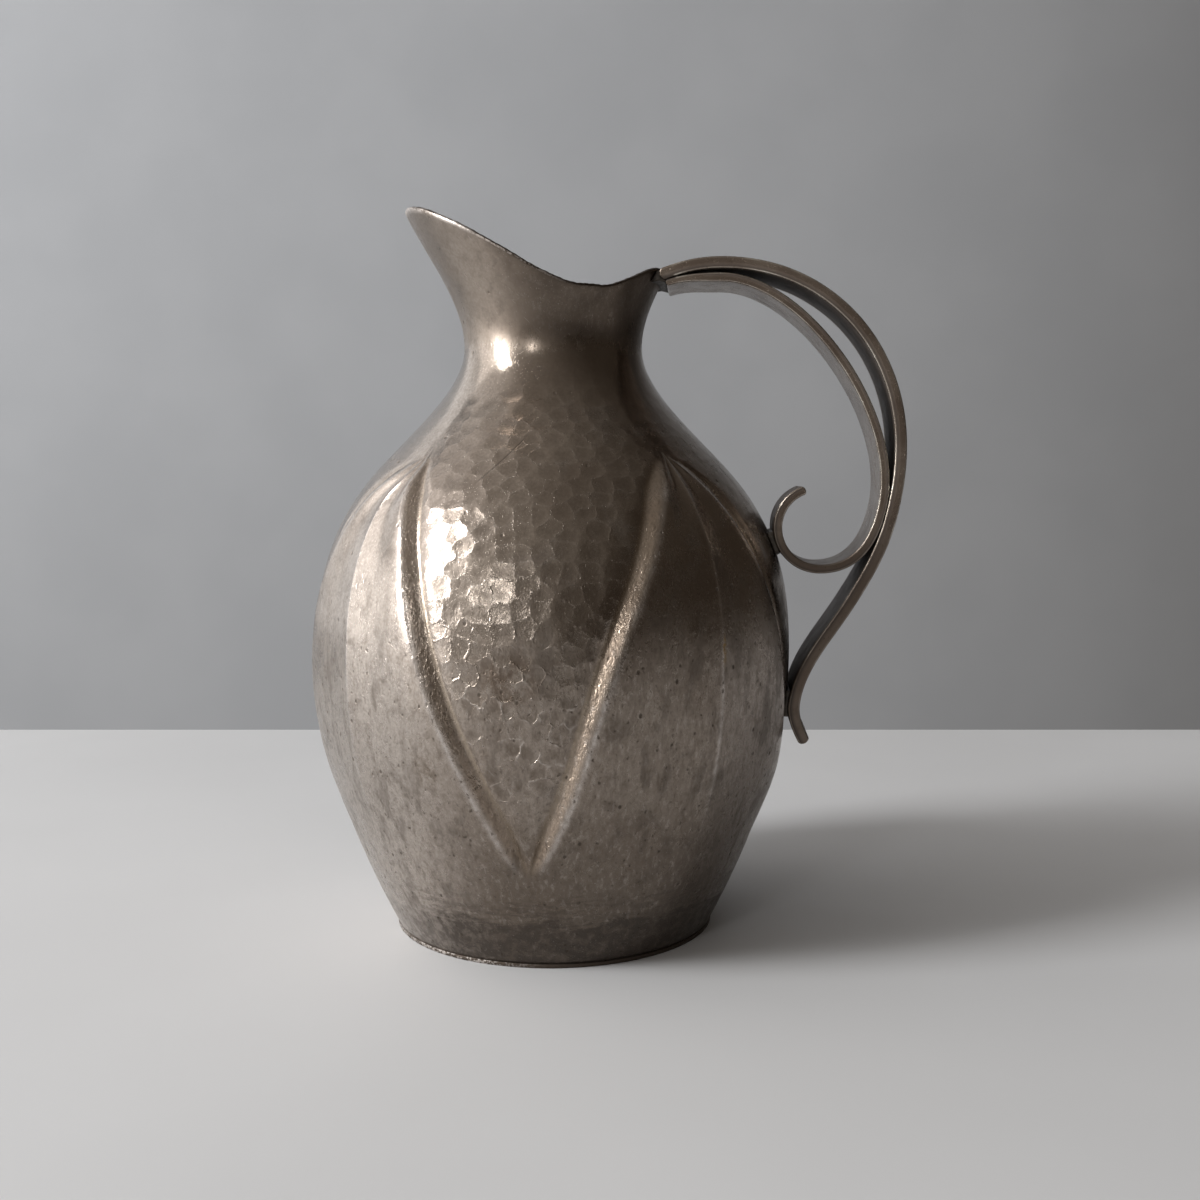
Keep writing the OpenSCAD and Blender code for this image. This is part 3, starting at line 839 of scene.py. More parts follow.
def build_rim_solder(material, outer_line, inner_line):
    """Solder in the corner between the back of the rim and both strap ends."""
    outer_way = toward(OUTER_HEADING)
    inner_way = toward(INNER_HEADING)
    outer_up = left_of(outer_way)
    inner_up = left_of(inner_way)
    inner_end = inner_line[0] + inner_up * (INNER_T - INNER_TIP_T) / 2 - inner_way * RIM_INNER_TUCK
    outer_end = outer_line[0] - outer_way * RIM_OUTER_TUCK
    corner = [inner_end + inner_up * share * INNER_TIP_T for share in RIM_INNER_SHARES]
    corner += [outer_end + outer_up * share * OUTER_T for share in RIM_OUTER_SHARES]
    front = 1 + len(corner)
    down = np.linspace(corner[-1][1] + RIM_HIGH_RISE, corner[0][1] + RIM_LOW_RISE, RIM_SOLDER_STEPS)
    half_w = STRAP_W / 2 - RIM_SOLDER_INSET
    sections = []
    for y in np.linspace(half_w, -half_w, RIM_SOLDER_ROWS):
        back = [(math.sqrt((float(outline(z)[0]) + RIM_BACK_GAP) ** 2 - y * y), z) for z in down]
        under = (np.array(back[-1]) + corner[0]) / 2 + np.array((0.0, RIM_SOLDER_HOLLOW))
        loop = np.array([under] + corner + back)
        radius = outline(loop[:front, 1])[0] + RIM_FRONT_GAP
        loop[:front, 0] = np.maximum(loop[:front, 0], np.sqrt(radius**2 - y * y))
        middle = loop.mean(axis=0)
        by_end = float(smooth((abs(y) - half_w + RIM_END_RUN) / RIM_END_RUN))
        loop = middle + (loop - middle) * (1.0 - RIM_END_SHRINK * by_end)
        sections.append(np.stack([loop[:, 0], np.full(len(loop), y), loop[:, 1]], axis=-1))
    count = len(sections[0])
    points = np.concatenate(sections)
    in_front = np.tile(np.arange(count) < front, RIM_SOLDER_ROWS)
    bulge = RIM_BULGE * noise_at(points, RIM_BULGE_SCALE, RIM_BULGE_SEED) * in_front
    points = points + bulge[:, None] * np.array(RIM_BULGE_WAY)
    new_piece("solder_rim", points, capped(RIM_SOLDER_ROWS, count), "rim_solder", material)


class Shader:
    """Short ways to build the nodes of a material or of the world."""

    def __init__(self, owner):
        self.owner = owner
        owner.use_nodes = True
        self.tree = owner.node_tree
        self.tree.nodes.clear()

    def node(self, kind, inputs=(), out=0, **settings):
        """A new node with its inputs linked or set; gives one of its outputs."""
        made = self.tree.nodes.new(kind)
        for key, value in settings.items():
            setattr(made, key, value)
        pairs = inputs.items() if isinstance(inputs, dict) else enumerate(inputs)
        for key, value in pairs:
            if isinstance(value, bpy.types.NodeSocket):
                self.tree.links.new(value, made.inputs[key])
            elif value is not None:
                made.inputs[key].default_value = value
        return made.outputs[out] if made.outputs else None

    def math(self, operation, a, b=None):
        return self.node("ShaderNodeMath", (a, b), operation=operation)

    def fold(self, operation, values):
        """One operation run over all values in turn."""
        result = values[0]
        for value in values[1:]:
            result = self.math(operation, result, value)
        return result

    def add(self, *values):
        return self.fold("ADD", values)

    def times(self, *values):
        return self.fold("MULTIPLY", values)

    def most(self, *values):
        return self.fold("MAXIMUM", values)

    def least(self, *values):
        return self.fold("MINIMUM", values)

    def less(self, a, b):
        return self.math("SUBTRACT", a, b)

    def vector(self, operation, a, b=None, out=0):
        return self.node("ShaderNodeVectorMath", (a, b), out=out, operation=operation)

    def ramp(self, value, low, high, start=0.0, end=1.0):
        """Smooth step from start, where the value is low, to end, where it is high."""
        inputs = (value, low, high, start, end)
        return self.node("ShaderNodeMapRange", inputs, interpolation_type="SMOOTHSTEP")

    def blend(self, share, a, b, **settings):
        return self.node("ShaderNodeMix", {0: share, 6: a, 7: b}, out=2, data_type="RGBA", **settings)

    def layers(self, tone, pairs):
        """Colours laid over a tone one after another, each by its share."""
        for share, colour in pairs:
            tone = self.blend(share, tone, colour)
        return tone

    def attribute(self, name, out="Fac"):
        return self.node("ShaderNodeAttribute", out=out, attribute_name=name)

    def places(self):
        """The object's coordinates in metres and in millimetres."""
        metres = self.node("ShaderNodeTexCoord", out="Object")
        return metres, self.scaled(metres, (1 / MM, 1 / MM, 1 / MM))

    def split(self, place):
        made = self.node("ShaderNodeSeparateXYZ", (place,)).node
        return [made.outputs[n] for n in range(3)]

    def scaled(self, place, scales):
        return self.vector("MULTIPLY", place, scales)

    def turned(self, place, angle):
        inputs = {"Vector": place, "Angle": angle}
        return self.node("ShaderNodeVectorRotate", inputs, rotation_type="Y_AXIS")

    def noise(self, place, scale, detail=2.0, rough=0.5):
        inputs = {"Vector": place, "Scale": scale, "Detail": detail, "Roughness": rough}
        return self.node("ShaderNodeTexNoise", inputs)

    def stretched(self, place, scales, detail, rough):
        return self.noise(self.scaled(place, scales), 1.0, detail, rough)

    def pits(self, place, scales, share, size):
        """Small dents scattered over the skin: one in a share of the cells."""
        cells = self.node("ShaderNodeTexVoronoi", {"Vector": self.scaled(place, scales), "Scale": 1.0})
        chance = self.node("ShaderNodeSeparateColor", (cells.node.outputs["Color"],))
        picked = self.ramp(chance, 1.0 - share, 1.0 - PIT_SURE_SHARE * share)
        return self.times(self.ramp(cells, PIT_FLOOR_SHARE * size, size, 1.0, 0.0), picked)

    def wavy(self, place, scale, reach):
        """Coordinates shifted a little to and fro."""
        drift = self.noise(place, scale).node.outputs["Color"]
        drift = self.vector("SUBTRACT", drift, (NOISE_MIDDLE, NOISE_MIDDLE, NOISE_MIDDLE))
        return self.vector("ADD", place, self.scaled(drift, (reach, reach, reach)))

    def hairs(self, place, tilt, share):
        """Long thin scratches, tilted from upright."""
        lines = self.stretched(self.turned(place, tilt), *HAIR_NOISE)
        return self.ramp(lines, HAIR_FROM - share, HAIR_TO - share)

    def spot(self, skin, centre, size):
        """An oval patch that fades to its edge."""
        gap = self.vector("SUBTRACT", skin, centre)
        gap = self.scaled(gap, (1.0 / size[0], 1.0 / size[1], 0.0))
        return self.ramp(self.vector("LENGTH", gap, out="Value"), SPOT_CORE_SHARE, 1.0, 1.0, 0.0)

    def line(self, skin, start, end, width):
        """A straight scratch between two places on the skin."""
        chord = Vector(end) - Vector(start)
        along = chord.normalized()
        gap = self.vector("SUBTRACT", skin, start)
        run = self.vector("DOT_PRODUCT", gap, along, out="Value")
        off = self.vector("DOT_PRODUCT", gap, (-along[1], along[0], 0.0), out="Value")
        thin = self.ramp(self.math("ABSOLUTE", off), SCRATCH_CORE_SHARE * width, width, 1.0, 0.0)
        begun = self.ramp(run, 0.0, SCRATCH_START)
        return self.times(thin, begun, self.ramp(run, chord.length, chord.length - SCRATCH_END))

    def off_centre(self, place, name):
        """Squared distance from a hammer mark's middle, in square millimetres."""
        gap = self.vector("SUBTRACT", place, self.attribute(name, "Vector"))
        length = self.vector("LENGTH", gap, out="Value")
        return self.math("POWER", self.times(length, 1.0 / MM), 2.0)

    def finish(self, colour, metallic, roughness, height):
        bump = self.node("ShaderNodeBump", {"Strength": 1.0, "Distance": MM, "Height": height})
        shine = self.node("ShaderNodeBsdfPrincipled", {
            "Base Color": colour, "Metallic": metallic, "Roughness": roughness, "Normal": bump})
        self.node("ShaderNodeOutputMaterial", (shine,))
        return self.owner


def rgb(r, g, b):
    return (r, g, b, 1.0)


# Forms of pits, of hair scratches with their tilts and shares, of spots and of the long scratch
PIT_SURE_SHARE = 0.9
PIT_FLOOR_SHARE = 0.4
HAIR_NOISE = ((4.2, 4.2, 0.1), 1.0, 0.5)
HAIR_FROM = 0.75
HAIR_TO = 0.8
LIGHT_HAIRS = ((0.12, 0.04), (0.8, 0.03))
DARK_HAIRS = ((-0.35, 0.05), (0.45, 0.04))
SPOT_CORE_SHARE = 0.3
SCRATCH_CORE_SHARE = 0.3
SCRATCH_START = 2.0
SCRATCH_END = 4.0

# Marks of use, as arc round the belly and height: a long scratch, two stains and an ochre spot
GASH_FROM = (-116.1, 146.6, 0.0)
GASH_TO = (-132.5, 133.2, 0.0)
GASH_W = 0.35
STAIN_AT = (-140.5, 59.0, 0.0)
STAIN_SIZE = (6.0, 7.0)
BROWN_AT = (-116.0, 84.0, 0.0)
BROWN_SIZE = (13.0, 10.0)
OCHRE_AT = (-55.6, 90.0, 0.0)
OCHRE_SIZE = (1.1, 6.0)

# Where looks of the body start and end, as heights or as x towards the handle
LOW_Z = (75.0, 125.0)
LEFT_X = (-5.0, -45.0)
LEFT_Z = (40.0, 95.0)
NECK_Z = (148.0, 164.0)
NECK_X = (-22.0, 0.0)
VEIN_Z = (116.0, 104.0)
VEIN_X = (16.0, 2.0)
CRACKLE_TOP_Z = (86.0, 74.0)
CRACKLE_FOOT_Z = (44.0, 60.0)
FAINT_Z = (90.0, 108.0)
BAND_Z = (13.0, 16.5)
BAND_STREAK_Z = (19.0, 25.0)
BAND_X = (-44.0, -18.0)
BAND_WOBBLE = 16.0
GROOVE_SHADE_Z = (64.0, 36.0)
SHADE_X = (-45.0, 0.0)
FOOT_Z = (62.0, 24.0)
FOOT_X = (-40.0, -10.0)
UPPER_FOOT_Z = (104.0, 124.0)
UPPER_TOP_Z = (164.0, 148.0)
UPPER_X = (16.0, -6.0)
RIGHT_X = (42.0, 62.0)
BETWEEN_X = (-52.0, -34.0)
RIGHT_HIGH_X = (10.0, 28.0)
RIGHT_HIGH_Z = (128.0, 152.0)
LIT_SHOULDER_FOOT_Z = (136.0, 152.0)
LIT_SHOULDER_TOP_Z = (168.0, 158.0)
LIT_SHOULDER_X = (-2.0, -20.0)
MOUTH_Z = (170.0, 180.0)
MOUTH_ROUGH_Z = (168.0, 177.0)
MOTTLE_Z = (172.0, 192.0)
MOUTH_SHADE_Z = (171.0, 178.0)
MOUTH_SHADE_X = (-18.0, 2.0)
LIT_LIP_X = (-14.0, -27.0)
LIP_HIGHLIGHT_X = (14.0, -10.0)
LIT_EDGE_X = (4.0, -16.0)
RUBBED_AND_LIT_Z = (26.0, 48.0)

# Scale, detail and roughness of the noises, with the stretch in place of the scale where they have one
PATCHES = (0.035, 3.0)
CLOUD = (0.16, 5.0, 0.6)
GRAIN = (1.3, 3.0)
VEINS = (0.12, 2.0)
VEIN_BREAKS = (0.4, 3.0, 0.6)
CRUMPLE = (0.5, 4.0, 0.65)
CRACKLE = (0.16, 3.0, 0.6)
BLOTCH = (0.3, 6.0, 0.68)
RIDGE_PITS = (1.3, 2.0)
STREAKS = ((0.8, 0.8, 0.24), 5.0, 0.66)
SMEARS = ((0.16, 0.16, 0.04), 4.0, 0.6)
FOLDS = ((0.5, 0.5, 0.2), 3.0, 0.6)
WOBBLE = ((0.06, 0.06, 0.25), 6.0, 0.68)
ACROSS = ((0.14, 0.14, 0.9), 5.0, 0.68)
STAINS = (0.075, 6.0, 0.62)
GROOVE_SPOTS = (0.9, 3.0)
SWELL = (0.085, 2.0)
NOISE_MIDDLE = 0.5
DRIFT_SCALE = 0.45
DRIFT_REACH = 1.8
NICK_TILT = 0.5

# Stretch of the cells, share of cells taken and size, of each kind of pit
PITS = ((0.2, 0.2, 0.16), 0.4, 0.14)
DOTS = ((0.55, 0.55, 0.42), 0.45, 0.28)
SPECKS = ((1.2, 1.2, 0.8), 0.35, 0.32)
NICKS = ((1.1, 1.1, 0.24), 0.3, 0.26)
CREST_PITS = ((0.6, 0.6, 0.5), 0.5, 0.34)


def body_material():
    s = Shader(bpy.data.materials.new("pewter_body"))
    metres, place = s.places()
    x, y, z = s.split(place)
    arc = s.times(s.math("ARCTAN2", y, x), BELLY_R)
    skin = s.node("ShaderNodeCombineXYZ", (arc, z, 0.0))
    names = ("groove", "crest", "flank", "mark", "lip", "inside", "edge")
    groove, crest, flank, mark, lip, inside, edge = [s.attribute(name) for name in names]

    patches = s.noise(place, *PATCHES)
    cloud = s.noise(place, *CLOUD)
    grain = s.noise(place, *GRAIN)
    low = s.ramp(z, *LOW_Z, 1.0, 0.0)
    neck = s.ramp(z, *NECK_Z)

    # Hammer marks, sharp along the uneven ridges between them
    loose = s.wavy(metres, MARK_WAVE / MM, MARK_DRIFT * MM)
    offs = [s.off_centre(loose, "mark_" + str(n)) for n in range(NEAR_MARKS)]
    least = s.least(*offs, MARK_REACH**2)
    second = s.less(s.less(s.add(*offs), least), s.most(*offs))
    ridge = s.less(s.math("SQRT", second), s.math("SQRT", least))
    ridge = s.times(s.ramp(ridge, 0.0, RIDGE_W, 1.0, 0.0), mark)
    vein_zone = s.times(s.ramp(z, *VEIN_Z), s.ramp(x, *VEIN_X))
    veins = s.times(ridge, s.ramp(s.noise(place, *VEINS), 0.4, 0.54))
    veins = s.times(veins, s.ramp(s.noise(place, *VEIN_BREAKS), 0.42, 0.6))
    veins = s.times(veins, s.add(s.times(vein_zone, 0.8), 0.2))
    crumple = s.times(s.noise(place, *CRUMPLE), vein_zone, mark)
    crackle = s.times(mark, s.ramp(z, *CRACKLE_TOP_Z), s.ramp(z, *CRACKLE_FOOT_Z))
    crackle = s.times(crackle, s.ramp(s.noise(place, *CRACKLE), 0.42, 0.58))
    # Painted highlights on the marks' ridges and painted shade in their hollows, full low on the panel and
    # faint higher up
    faint = s.times(mark, s.ramp(z, *FAINT_Z, 0.0, 0.32), s.ramp(patches, 0.4, 0.56, 0.5, 1.0))
    facet_light_and_shade = s.most(crackle, faint)
    hollow_shade = s.times(s.ramp(least, *HOLLOW_OFF, 1.0, 0.0), facet_light_and_shade)

    # Pits, nicks and scratches, most of them low down
    drifted = s.wavy(place, DRIFT_SCALE, DRIFT_REACH)
    blotch = s.noise(drifted, *BLOTCH)
    worn = s.times(s.add(s.times(low, 0.85), 0.15), s.ramp(blotch, 0.42, 0.6, 0.15, 1.0))
    dots = s.times(s.pits(drifted, *DOTS), worn)
    specks = s.times(s.pits(drifted, *SPECKS), worn)
    nicks = s.times(s.pits(s.turned(drifted, NICK_TILT), *NICKS), worn)
    crest_pits = s.times(crest, s.pits(drifted, *CREST_PITS))
    ridge_pits = s.times(ridge, 0.4, s.ramp(s.noise(place, *RIDGE_PITS), 0.58, 0.66))
    deep = s.most(s.pits(place, *PITS), dots, ridge_pits, crest_pits)
    pitted = s.most(deep, s.times(nicks, 0.6), s.times(specks, 0.5))
    streaks = s.stretched(drifted, *STREAKS)
    folds = s.math("ABSOLUTE", s.less(s.stretched(drifted, *FOLDS), NOISE_MIDDLE))
    light_hairs = s.most(*[s.hairs(place, tilt, share) for tilt, share in LIGHT_HAIRS])
    dark_hairs = s.most(*[s.hairs(place, tilt, share) for tilt, share in DARK_HAIRS])
    dark_hairs = s.times(dark_hairs, s.add(s.times(low, 0.8), 0.2))
    gash = s.line(skin, GASH_FROM, GASH_TO, GASH_W)

    # Dark patina: the band at the foot, grooves, stains, mottling at the spout
    wobble = s.less(s.stretched(place, *WOBBLE), NOISE_MIDDLE)
    height_in = s.add(z, s.times(wobble, BAND_WOBBLE))
    band = s.times(s.ramp(height_in, *BAND_Z, 1.0, 0.0), s.ramp(blotch, 0.38, 0.58, 0.45, 1.0))
    across = s.ramp(s.stretched(drifted, *ACROSS), 0.4, 0.6)
    band = s.most(band, s.times(s.ramp(height_in, *BAND_STREAK_Z, 0.42, 0.0), across))
    band = s.times(band, s.ramp(x, *BAND_X, 0.35, 1.0))
    stain = s.times(s.ramp(s.noise(place, *STAINS), 0.52, 0.7), 0.5)
    smears = s.ramp(s.stretched(drifted, *SMEARS), 0.5, 0.68)
    spill = s.times(smears, s.add(s.times(low, 0.5), 0.08))
    mottle = s.times(s.ramp(z, *MOTTLE_Z), s.ramp(cloud, 0.4, 0.68))
    groove_spots = s.times(groove, s.ramp(s.noise(place, *GROOVE_SPOTS), 0.54, 0.64))
    patina = s.most(s.times(groove_spots, 0.5), s.times(band, 0.9), stain, spill)
    patina = s.most(patina, s.times(mottle, 0.45), s.times(inside, 0.6))
    blot = s.times(s.spot(skin, STAIN_AT, STAIN_SIZE), s.ramp(blotch, 0.38, 0.58))
    brown = s.times(s.spot(skin, BROWN_AT, BROWN_SIZE), s.ramp(blotch, 0.4, 0.54))
    ochre = s.times(s.spot(skin, OCHRE_AT, OCHRE_SIZE), s.ramp(grain, 0.35, 0.6))

    # Wear and painted highlights on the crests, the lip and the base disc's edge
    rubbed_and_lit = s.times(s.ramp(z, *RUBBED_AND_LIT_Z, 0.35, 1.0), s.ramp(blotch, 0.36, 0.6, 1.0, 0.45))
    lit_lip = s.times(lip, s.ramp(x, *LIT_LIP_X), s.ramp(cloud, 0.4, 0.52))
    lit_edge = s.times(edge, s.ramp(x, *LIT_EDGE_X, 0.0, 0.7), s.ramp(grain, 0.46, 0.58))
    wear_and_highlights = s.most(s.times(crest, rubbed_and_lit), lit_lip, lit_edge)
    lip_highlight = s.times(s.ramp(lip, 0.4, 0.65), s.ramp(lip, 0.97, 0.88))
    lip_highlight = s.times(lip_highlight, s.ramp(x, *LIP_HIGHLIGHT_X), s.ramp(grain, 0.4, 0.56))

    # Each share of the skin and the colour it gets, from the lowest layer up
    aged = s.add(s.times(low, 0.7), 0.3)
    left = s.ramp(x, *LEFT_X)
    upper = s.times(s.ramp(z, *UPPER_FOOT_Z), s.ramp(z, *UPPER_TOP_Z), s.ramp(x, *UPPER_X))
    lit_shoulder = s.times(s.ramp(z, *LIT_SHOULDER_FOOT_Z), s.ramp(z, *LIT_SHOULDER_TOP_Z), s.ramp(x, *LIT_SHOULDER_X))
    tone = s.blend(s.ramp(patches, 0.36, 0.64), rgb(0.31, 0.265, 0.215), rgb(0.4, 0.355, 0.295))
    tone = s.layers(tone, (
        # painted shade: darker low down and towards the right, away from the window, partly also the lower
        # body's own darker tone
        (s.times(low, s.ramp(x, *SHADE_X, 0.05, 0.53)), rgb(0.2, 0.172, 0.14)),
        # painted shade: darker towards the foot in the middle and on the right
        (s.times(s.ramp(z, *FOOT_Z, 0.0, 0.64), s.ramp(x, *FOOT_X)), rgb(0.13, 0.108, 0.085)),
        # painted light: the side towards the window lighter, most of all low down
        (s.times(left, s.ramp(z, *LEFT_Z, 0.92, 0.75)), rgb(0.58, 0.54, 0.48)),
        # painted sheen: the upper panel lighter on its front and left, towards the window
        (s.times(upper, 0.32), rgb(0.54, 0.475, 0.405)),
        # painted reflection: the low right side lighter, as if reflecting the pale floor and room to the
        # right
        (s.times(low, 0.6, s.ramp(x, *RIGHT_X)), rgb(0.48, 0.44, 0.39)),
        (s.times(flank, 0.4), rgb(0.44, 0.345, 0.25)),
        # painted sheen: the hammered panel lighter around the window's highlight
        (s.times(mark, vein_zone, s.ramp(x, *BETWEEN_X), 0.35), rgb(0.5, 0.45, 0.385)),
        # painted shade: the right shoulder darker, away from the window
        (s.times(s.ramp(x, *RIGHT_HIGH_X), s.ramp(z, *RIGHT_HIGH_Z), 0.5), rgb(0.13, 0.108, 0.085)),
        # brown patina on the neck, with painted shade making it darker towards the right
        (s.times(neck, s.ramp(x, *NECK_X), 0.4), rgb(0.17, 0.14, 0.11)),
        # painted light: the left shoulder lighter where the window's light falls
        (s.times(lit_shoulder, 0.3), rgb(0.56, 0.52, 0.455)),
        (s.times(s.ramp(z, *MOUTH_Z), 0.4), rgb(0.27, 0.228, 0.18)),
        # painted shade in the mouth that hides the floor's reflection
        (s.times(s.ramp(z, *MOUTH_SHADE_Z), s.ramp(x, *MOUTH_SHADE_X), 0.75), rgb(0.085, 0.068, 0.052)),
        (s.ramp(grain, 0.3, 0.7, 0.0, 0.3), rgb(0.19, 0.16, 0.125)),
        (s.times(s.ramp(streaks, 0.5, 0.68, 0.0, 0.4), aged), rgb(0.13, 0.105, 0.078)),
        (s.times(s.ramp(streaks, 0.48, 0.32, 0.0, 0.3), aged), rgb(0.52, 0.485, 0.43)),
        (s.times(s.ramp(blotch, 0.48, 0.72, 0.0, 0.4), aged), rgb(0.15, 0.12, 0.09)),
        (s.times(dark_hairs, 0.5), rgb(0.08, 0.062, 0.045)),
        # painted shade in the hollows of the hammer marks
        (s.times(hollow_shade, 0.5), rgb(0.11, 0.085, 0.06)),
        # painted highlights on the ridges between hammer marks
        (s.times(ridge, facet_light_and_shade, 0.5), rgb(0.62, 0.58, 0.52)),
        (s.times(brown, 0.5), rgb(0.12, 0.08, 0.05)),
        (patina, rgb(0.085, 0.068, 0.051)),
        (s.times(blot, 0.45), rgb(0.13, 0.095, 0.06)),
        # painted highlight: the golden lit side of the groove
        (s.times(groove, 0.35), rgb(0.52, 0.44, 0.32)),
        # painted shade in the groove low down, at the foot of the V
        (s.times(groove, s.ramp(z, *GROOVE_SHADE_Z), 0.7), rgb(0.09, 0.066, 0.044)),
        (s.times(band, 0.6), rgb(0.05, 0.041, 0.033)),
        (s.times(light_hairs, 0.3), rgb(0.6, 0.57, 0.52)),
        # painted shade along the rim's lip; the base disc's edge darker too
        (s.times(s.most(lip, edge), 0.8), rgb(0.07, 0.055, 0.042)),
        # painted highlight: a thin lit line on the lip
        (s.times(lip_highlight, 0.75), rgb(0.6, 0.56, 0.5)),
        # worn crests with painted highlights, and painted highlights on the lip and the base disc's edge
        (s.times(wear_and_highlights, 0.8), rgb(0.66, 0.63, 0.58)),
        (s.times(pitted, 0.8), rgb(0.055, 0.042, 0.028)),
        (s.times(gash, 0.4), rgb(0.06, 0.048, 0.036)),
        (s.times(ochre, 0.8), rgb(0.3, 0.19, 0.05))))
    tone = s.blend(1.0, tone, rgb(1.0, 0.965, 0.985), blend_type="MULTIPLY")

    rough = s.add(
        s.ramp(cloud, 0.3, 0.7, 0.16, 0.25),
        s.times(patina, 0.14),
        s.times(low, 0.08),
        s.ramp(z, *MOUTH_ROUGH_Z, 0.0, 0.17),
        s.times(neck, -0.05),
        s.times(crest, -0.06),
        s.ramp(streaks, 0.35, 0.65, -0.03, 0.05),
        s.times(pitted, 0.25),
        s.times(edge, 0.25))
    metal = s.less(s.less(1.0, s.times(s.most(patina, pitted), 0.4)), s.times(ochre, 0.5))

    # Heights in millimetres
    height = s.add(
        s.times(least, MARK_BUMP, mark),
        s.times(s.noise(place, *SWELL), s.ramp(neck, 0.0, 1.0, 0.09, 0.03)),
        s.times(cloud, s.ramp(neck, 0.0, 1.0, 0.03, 0.012)),
        s.times(grain, 0.006),
        s.times(folds, s.add(s.times(low, 0.16), 0.015)),
        s.times(streaks, s.add(s.times(low, 0.02), 0.004)),
        s.times(folds, flank, 0.3),
        s.times(veins, grain, 0.24),
        s.times(crumple, 0.1),
        s.times(ridge, crackle, 0.05),
        s.times(pitted, -0.1),
        s.times(s.add(light_hairs, dark_hairs), -0.008),
        s.times(gash, -0.04))
    return s.finish(tone, metal, rough, height)


# Noises of the straps, and where their strut begins and ends
STRUT_Z = (128.0, 112.0)
STRAP_PATCHES = (0.06, 3.0)
STRAP_CLOUD = (0.22, 5.0, 0.6)
STRAP_GRAIN = (1.4, 3.0)
STRAP_DOTS = (1.6, 2.0)
STRAP_BRUSH = ((0.3, 5.0, 0.3), 2.0, 0.5)
STRAP_SWELL = (0.1, 2.0)
STRAP_METAL = 0.92


def strap_material():
    s = Shader(bpy.data.materials.new("pewter_strap"))
    place = s.places()[1]
    edge = s.ramp(s.attribute("edge"), 0.55, 0.95)
    gap = s.times(s.attribute("gap"), s.less(1.0, edge))
    patches = s.noise(place, *STRAP_PATCHES)
    cloud = s.noise(place, *STRAP_CLOUD)
    dots = s.ramp(s.noise(place, *STRAP_DOTS), 0.66, 0.74)
    strut = s.ramp(s.split(place)[2], *STRUT_Z)
    rubbed_and_lit = s.times(s.ramp(cloud, 0.35, 0.55, 1.0, 0.4), s.ramp(patches, 0.4, 0.56, 0.5, 1.0))
    rubbed_and_lit = s.times(rubbed_and_lit, s.ramp(strut, 0.0, 1.0, 1.0, 0.3))
    tone = s.blend(s.ramp(patches, 0.36, 0.64), rgb(0.22, 0.174, 0.142), rgb(0.31, 0.256, 0.212))
    tone = s.layers(tone, (
        (s.ramp(cloud, 0.5, 0.72, 0.0, 0.5), rgb(0.15, 0.115, 0.09)),
        # painted shade on the strut
        (s.times(strut, 0.7), rgb(0.1, 0.076, 0.06)),
        # painted shade on the faces towards the gap between the straps
        (s.times(gap, 0.8), rgb(0.05, 0.037, 0.03)),
        # rubbed edges, partly wear, partly painted highlights
        (s.times(edge, rubbed_and_lit), rgb(0.6, 0.56, 0.5)),
        (s.times(dots, 0.7), rgb(0.07, 0.05, 0.035))))
    rough = s.add(
        s.ramp(cloud, 0.3, 0.7, 0.2, 0.3),
        s.times(dots, 0.2),
        s.most(s.times(strut, 0.12), s.times(gap, 0.3)))
    metal = s.less(STRAP_METAL, s.times(gap, 0.5))
    height = s.add(
        s.times(cloud, 0.014),
        s.times(s.noise(place, *STRAP_GRAIN), 0.005),
        s.times(s.noise(place, *STRAP_SWELL), 0.03),
        s.times(s.stretched(place, *STRAP_BRUSH), 0.005),
        s.times(dots, -0.04))
    return s.finish(tone, metal, rough, height)


# Noises of the solder
SOLDER_CLOUD = (0.5, 4.0, 0.6)
SOLDER_GRAIN = (2.0, 3.0)
SOLDER_METAL = 0.25


def solder_material():
    s = Shader(bpy.data.materials.new("solder"))
    place = s.places()[1]
    cloud = s.noise(place, *SOLDER_CLOUD)
    grain = s.noise(place, *SOLDER_GRAIN)
    tone = s.blend(s.ramp(cloud, 0.35, 0.65), rgb(0.035, 0.028, 0.022), rgb(0.1, 0.085, 0.07))
    tone = s.blend(s.ramp(grain, 0.62, 0.74, 0.0, 0.2), tone, rgb(0.4, 0.38, 0.35))
    rough = s.ramp(grain, 0.3, 0.7, 0.45, 0.65)
    height = s.add(s.times(cloud, 0.15), s.times(grain, 0.05))
    return s.finish(tone, SOLDER_METAL, rough, height)


# The room is darker to the right and brighter up to the left: sides, spreads and colours
ROOM_DARK = rgb(0.07, 0.058, 0.047)
ROOM_SIDES = (
    ((-0.96, -0.1, 0.24), (-0.6, 1.2), rgb(0.48, 0.45, 0.415)),
    ((-0.93, 0.08, 0.36), (0.55, 1.0), rgb(0.95, 0.92, 0.9)),
)

# Lamps as azimuth, elevation, distance, width, height and radiance
LAMPS = {
    "window": (-65.0, 24.0, 2.4, 0.57, 1.72, 19.0),
    "strip": (-21.0, 19.5, 1.6, 0.11, 0.42, 12.0),
    "left_wall": (-110.0, 19.0, 1.7, 1.6, 1.5, 0.72),
}
LAMP_AIM_Z = 0.1

# Camera
CAMERA_AT = (46.65, -409.43, 136.88)
CAMERA_LENS = 40.53
CAMERA_SENSOR = 36.0
CAMERA_TURN = (84.63, 0.0, 4.55)
CAMERA_NEAR = 0.01

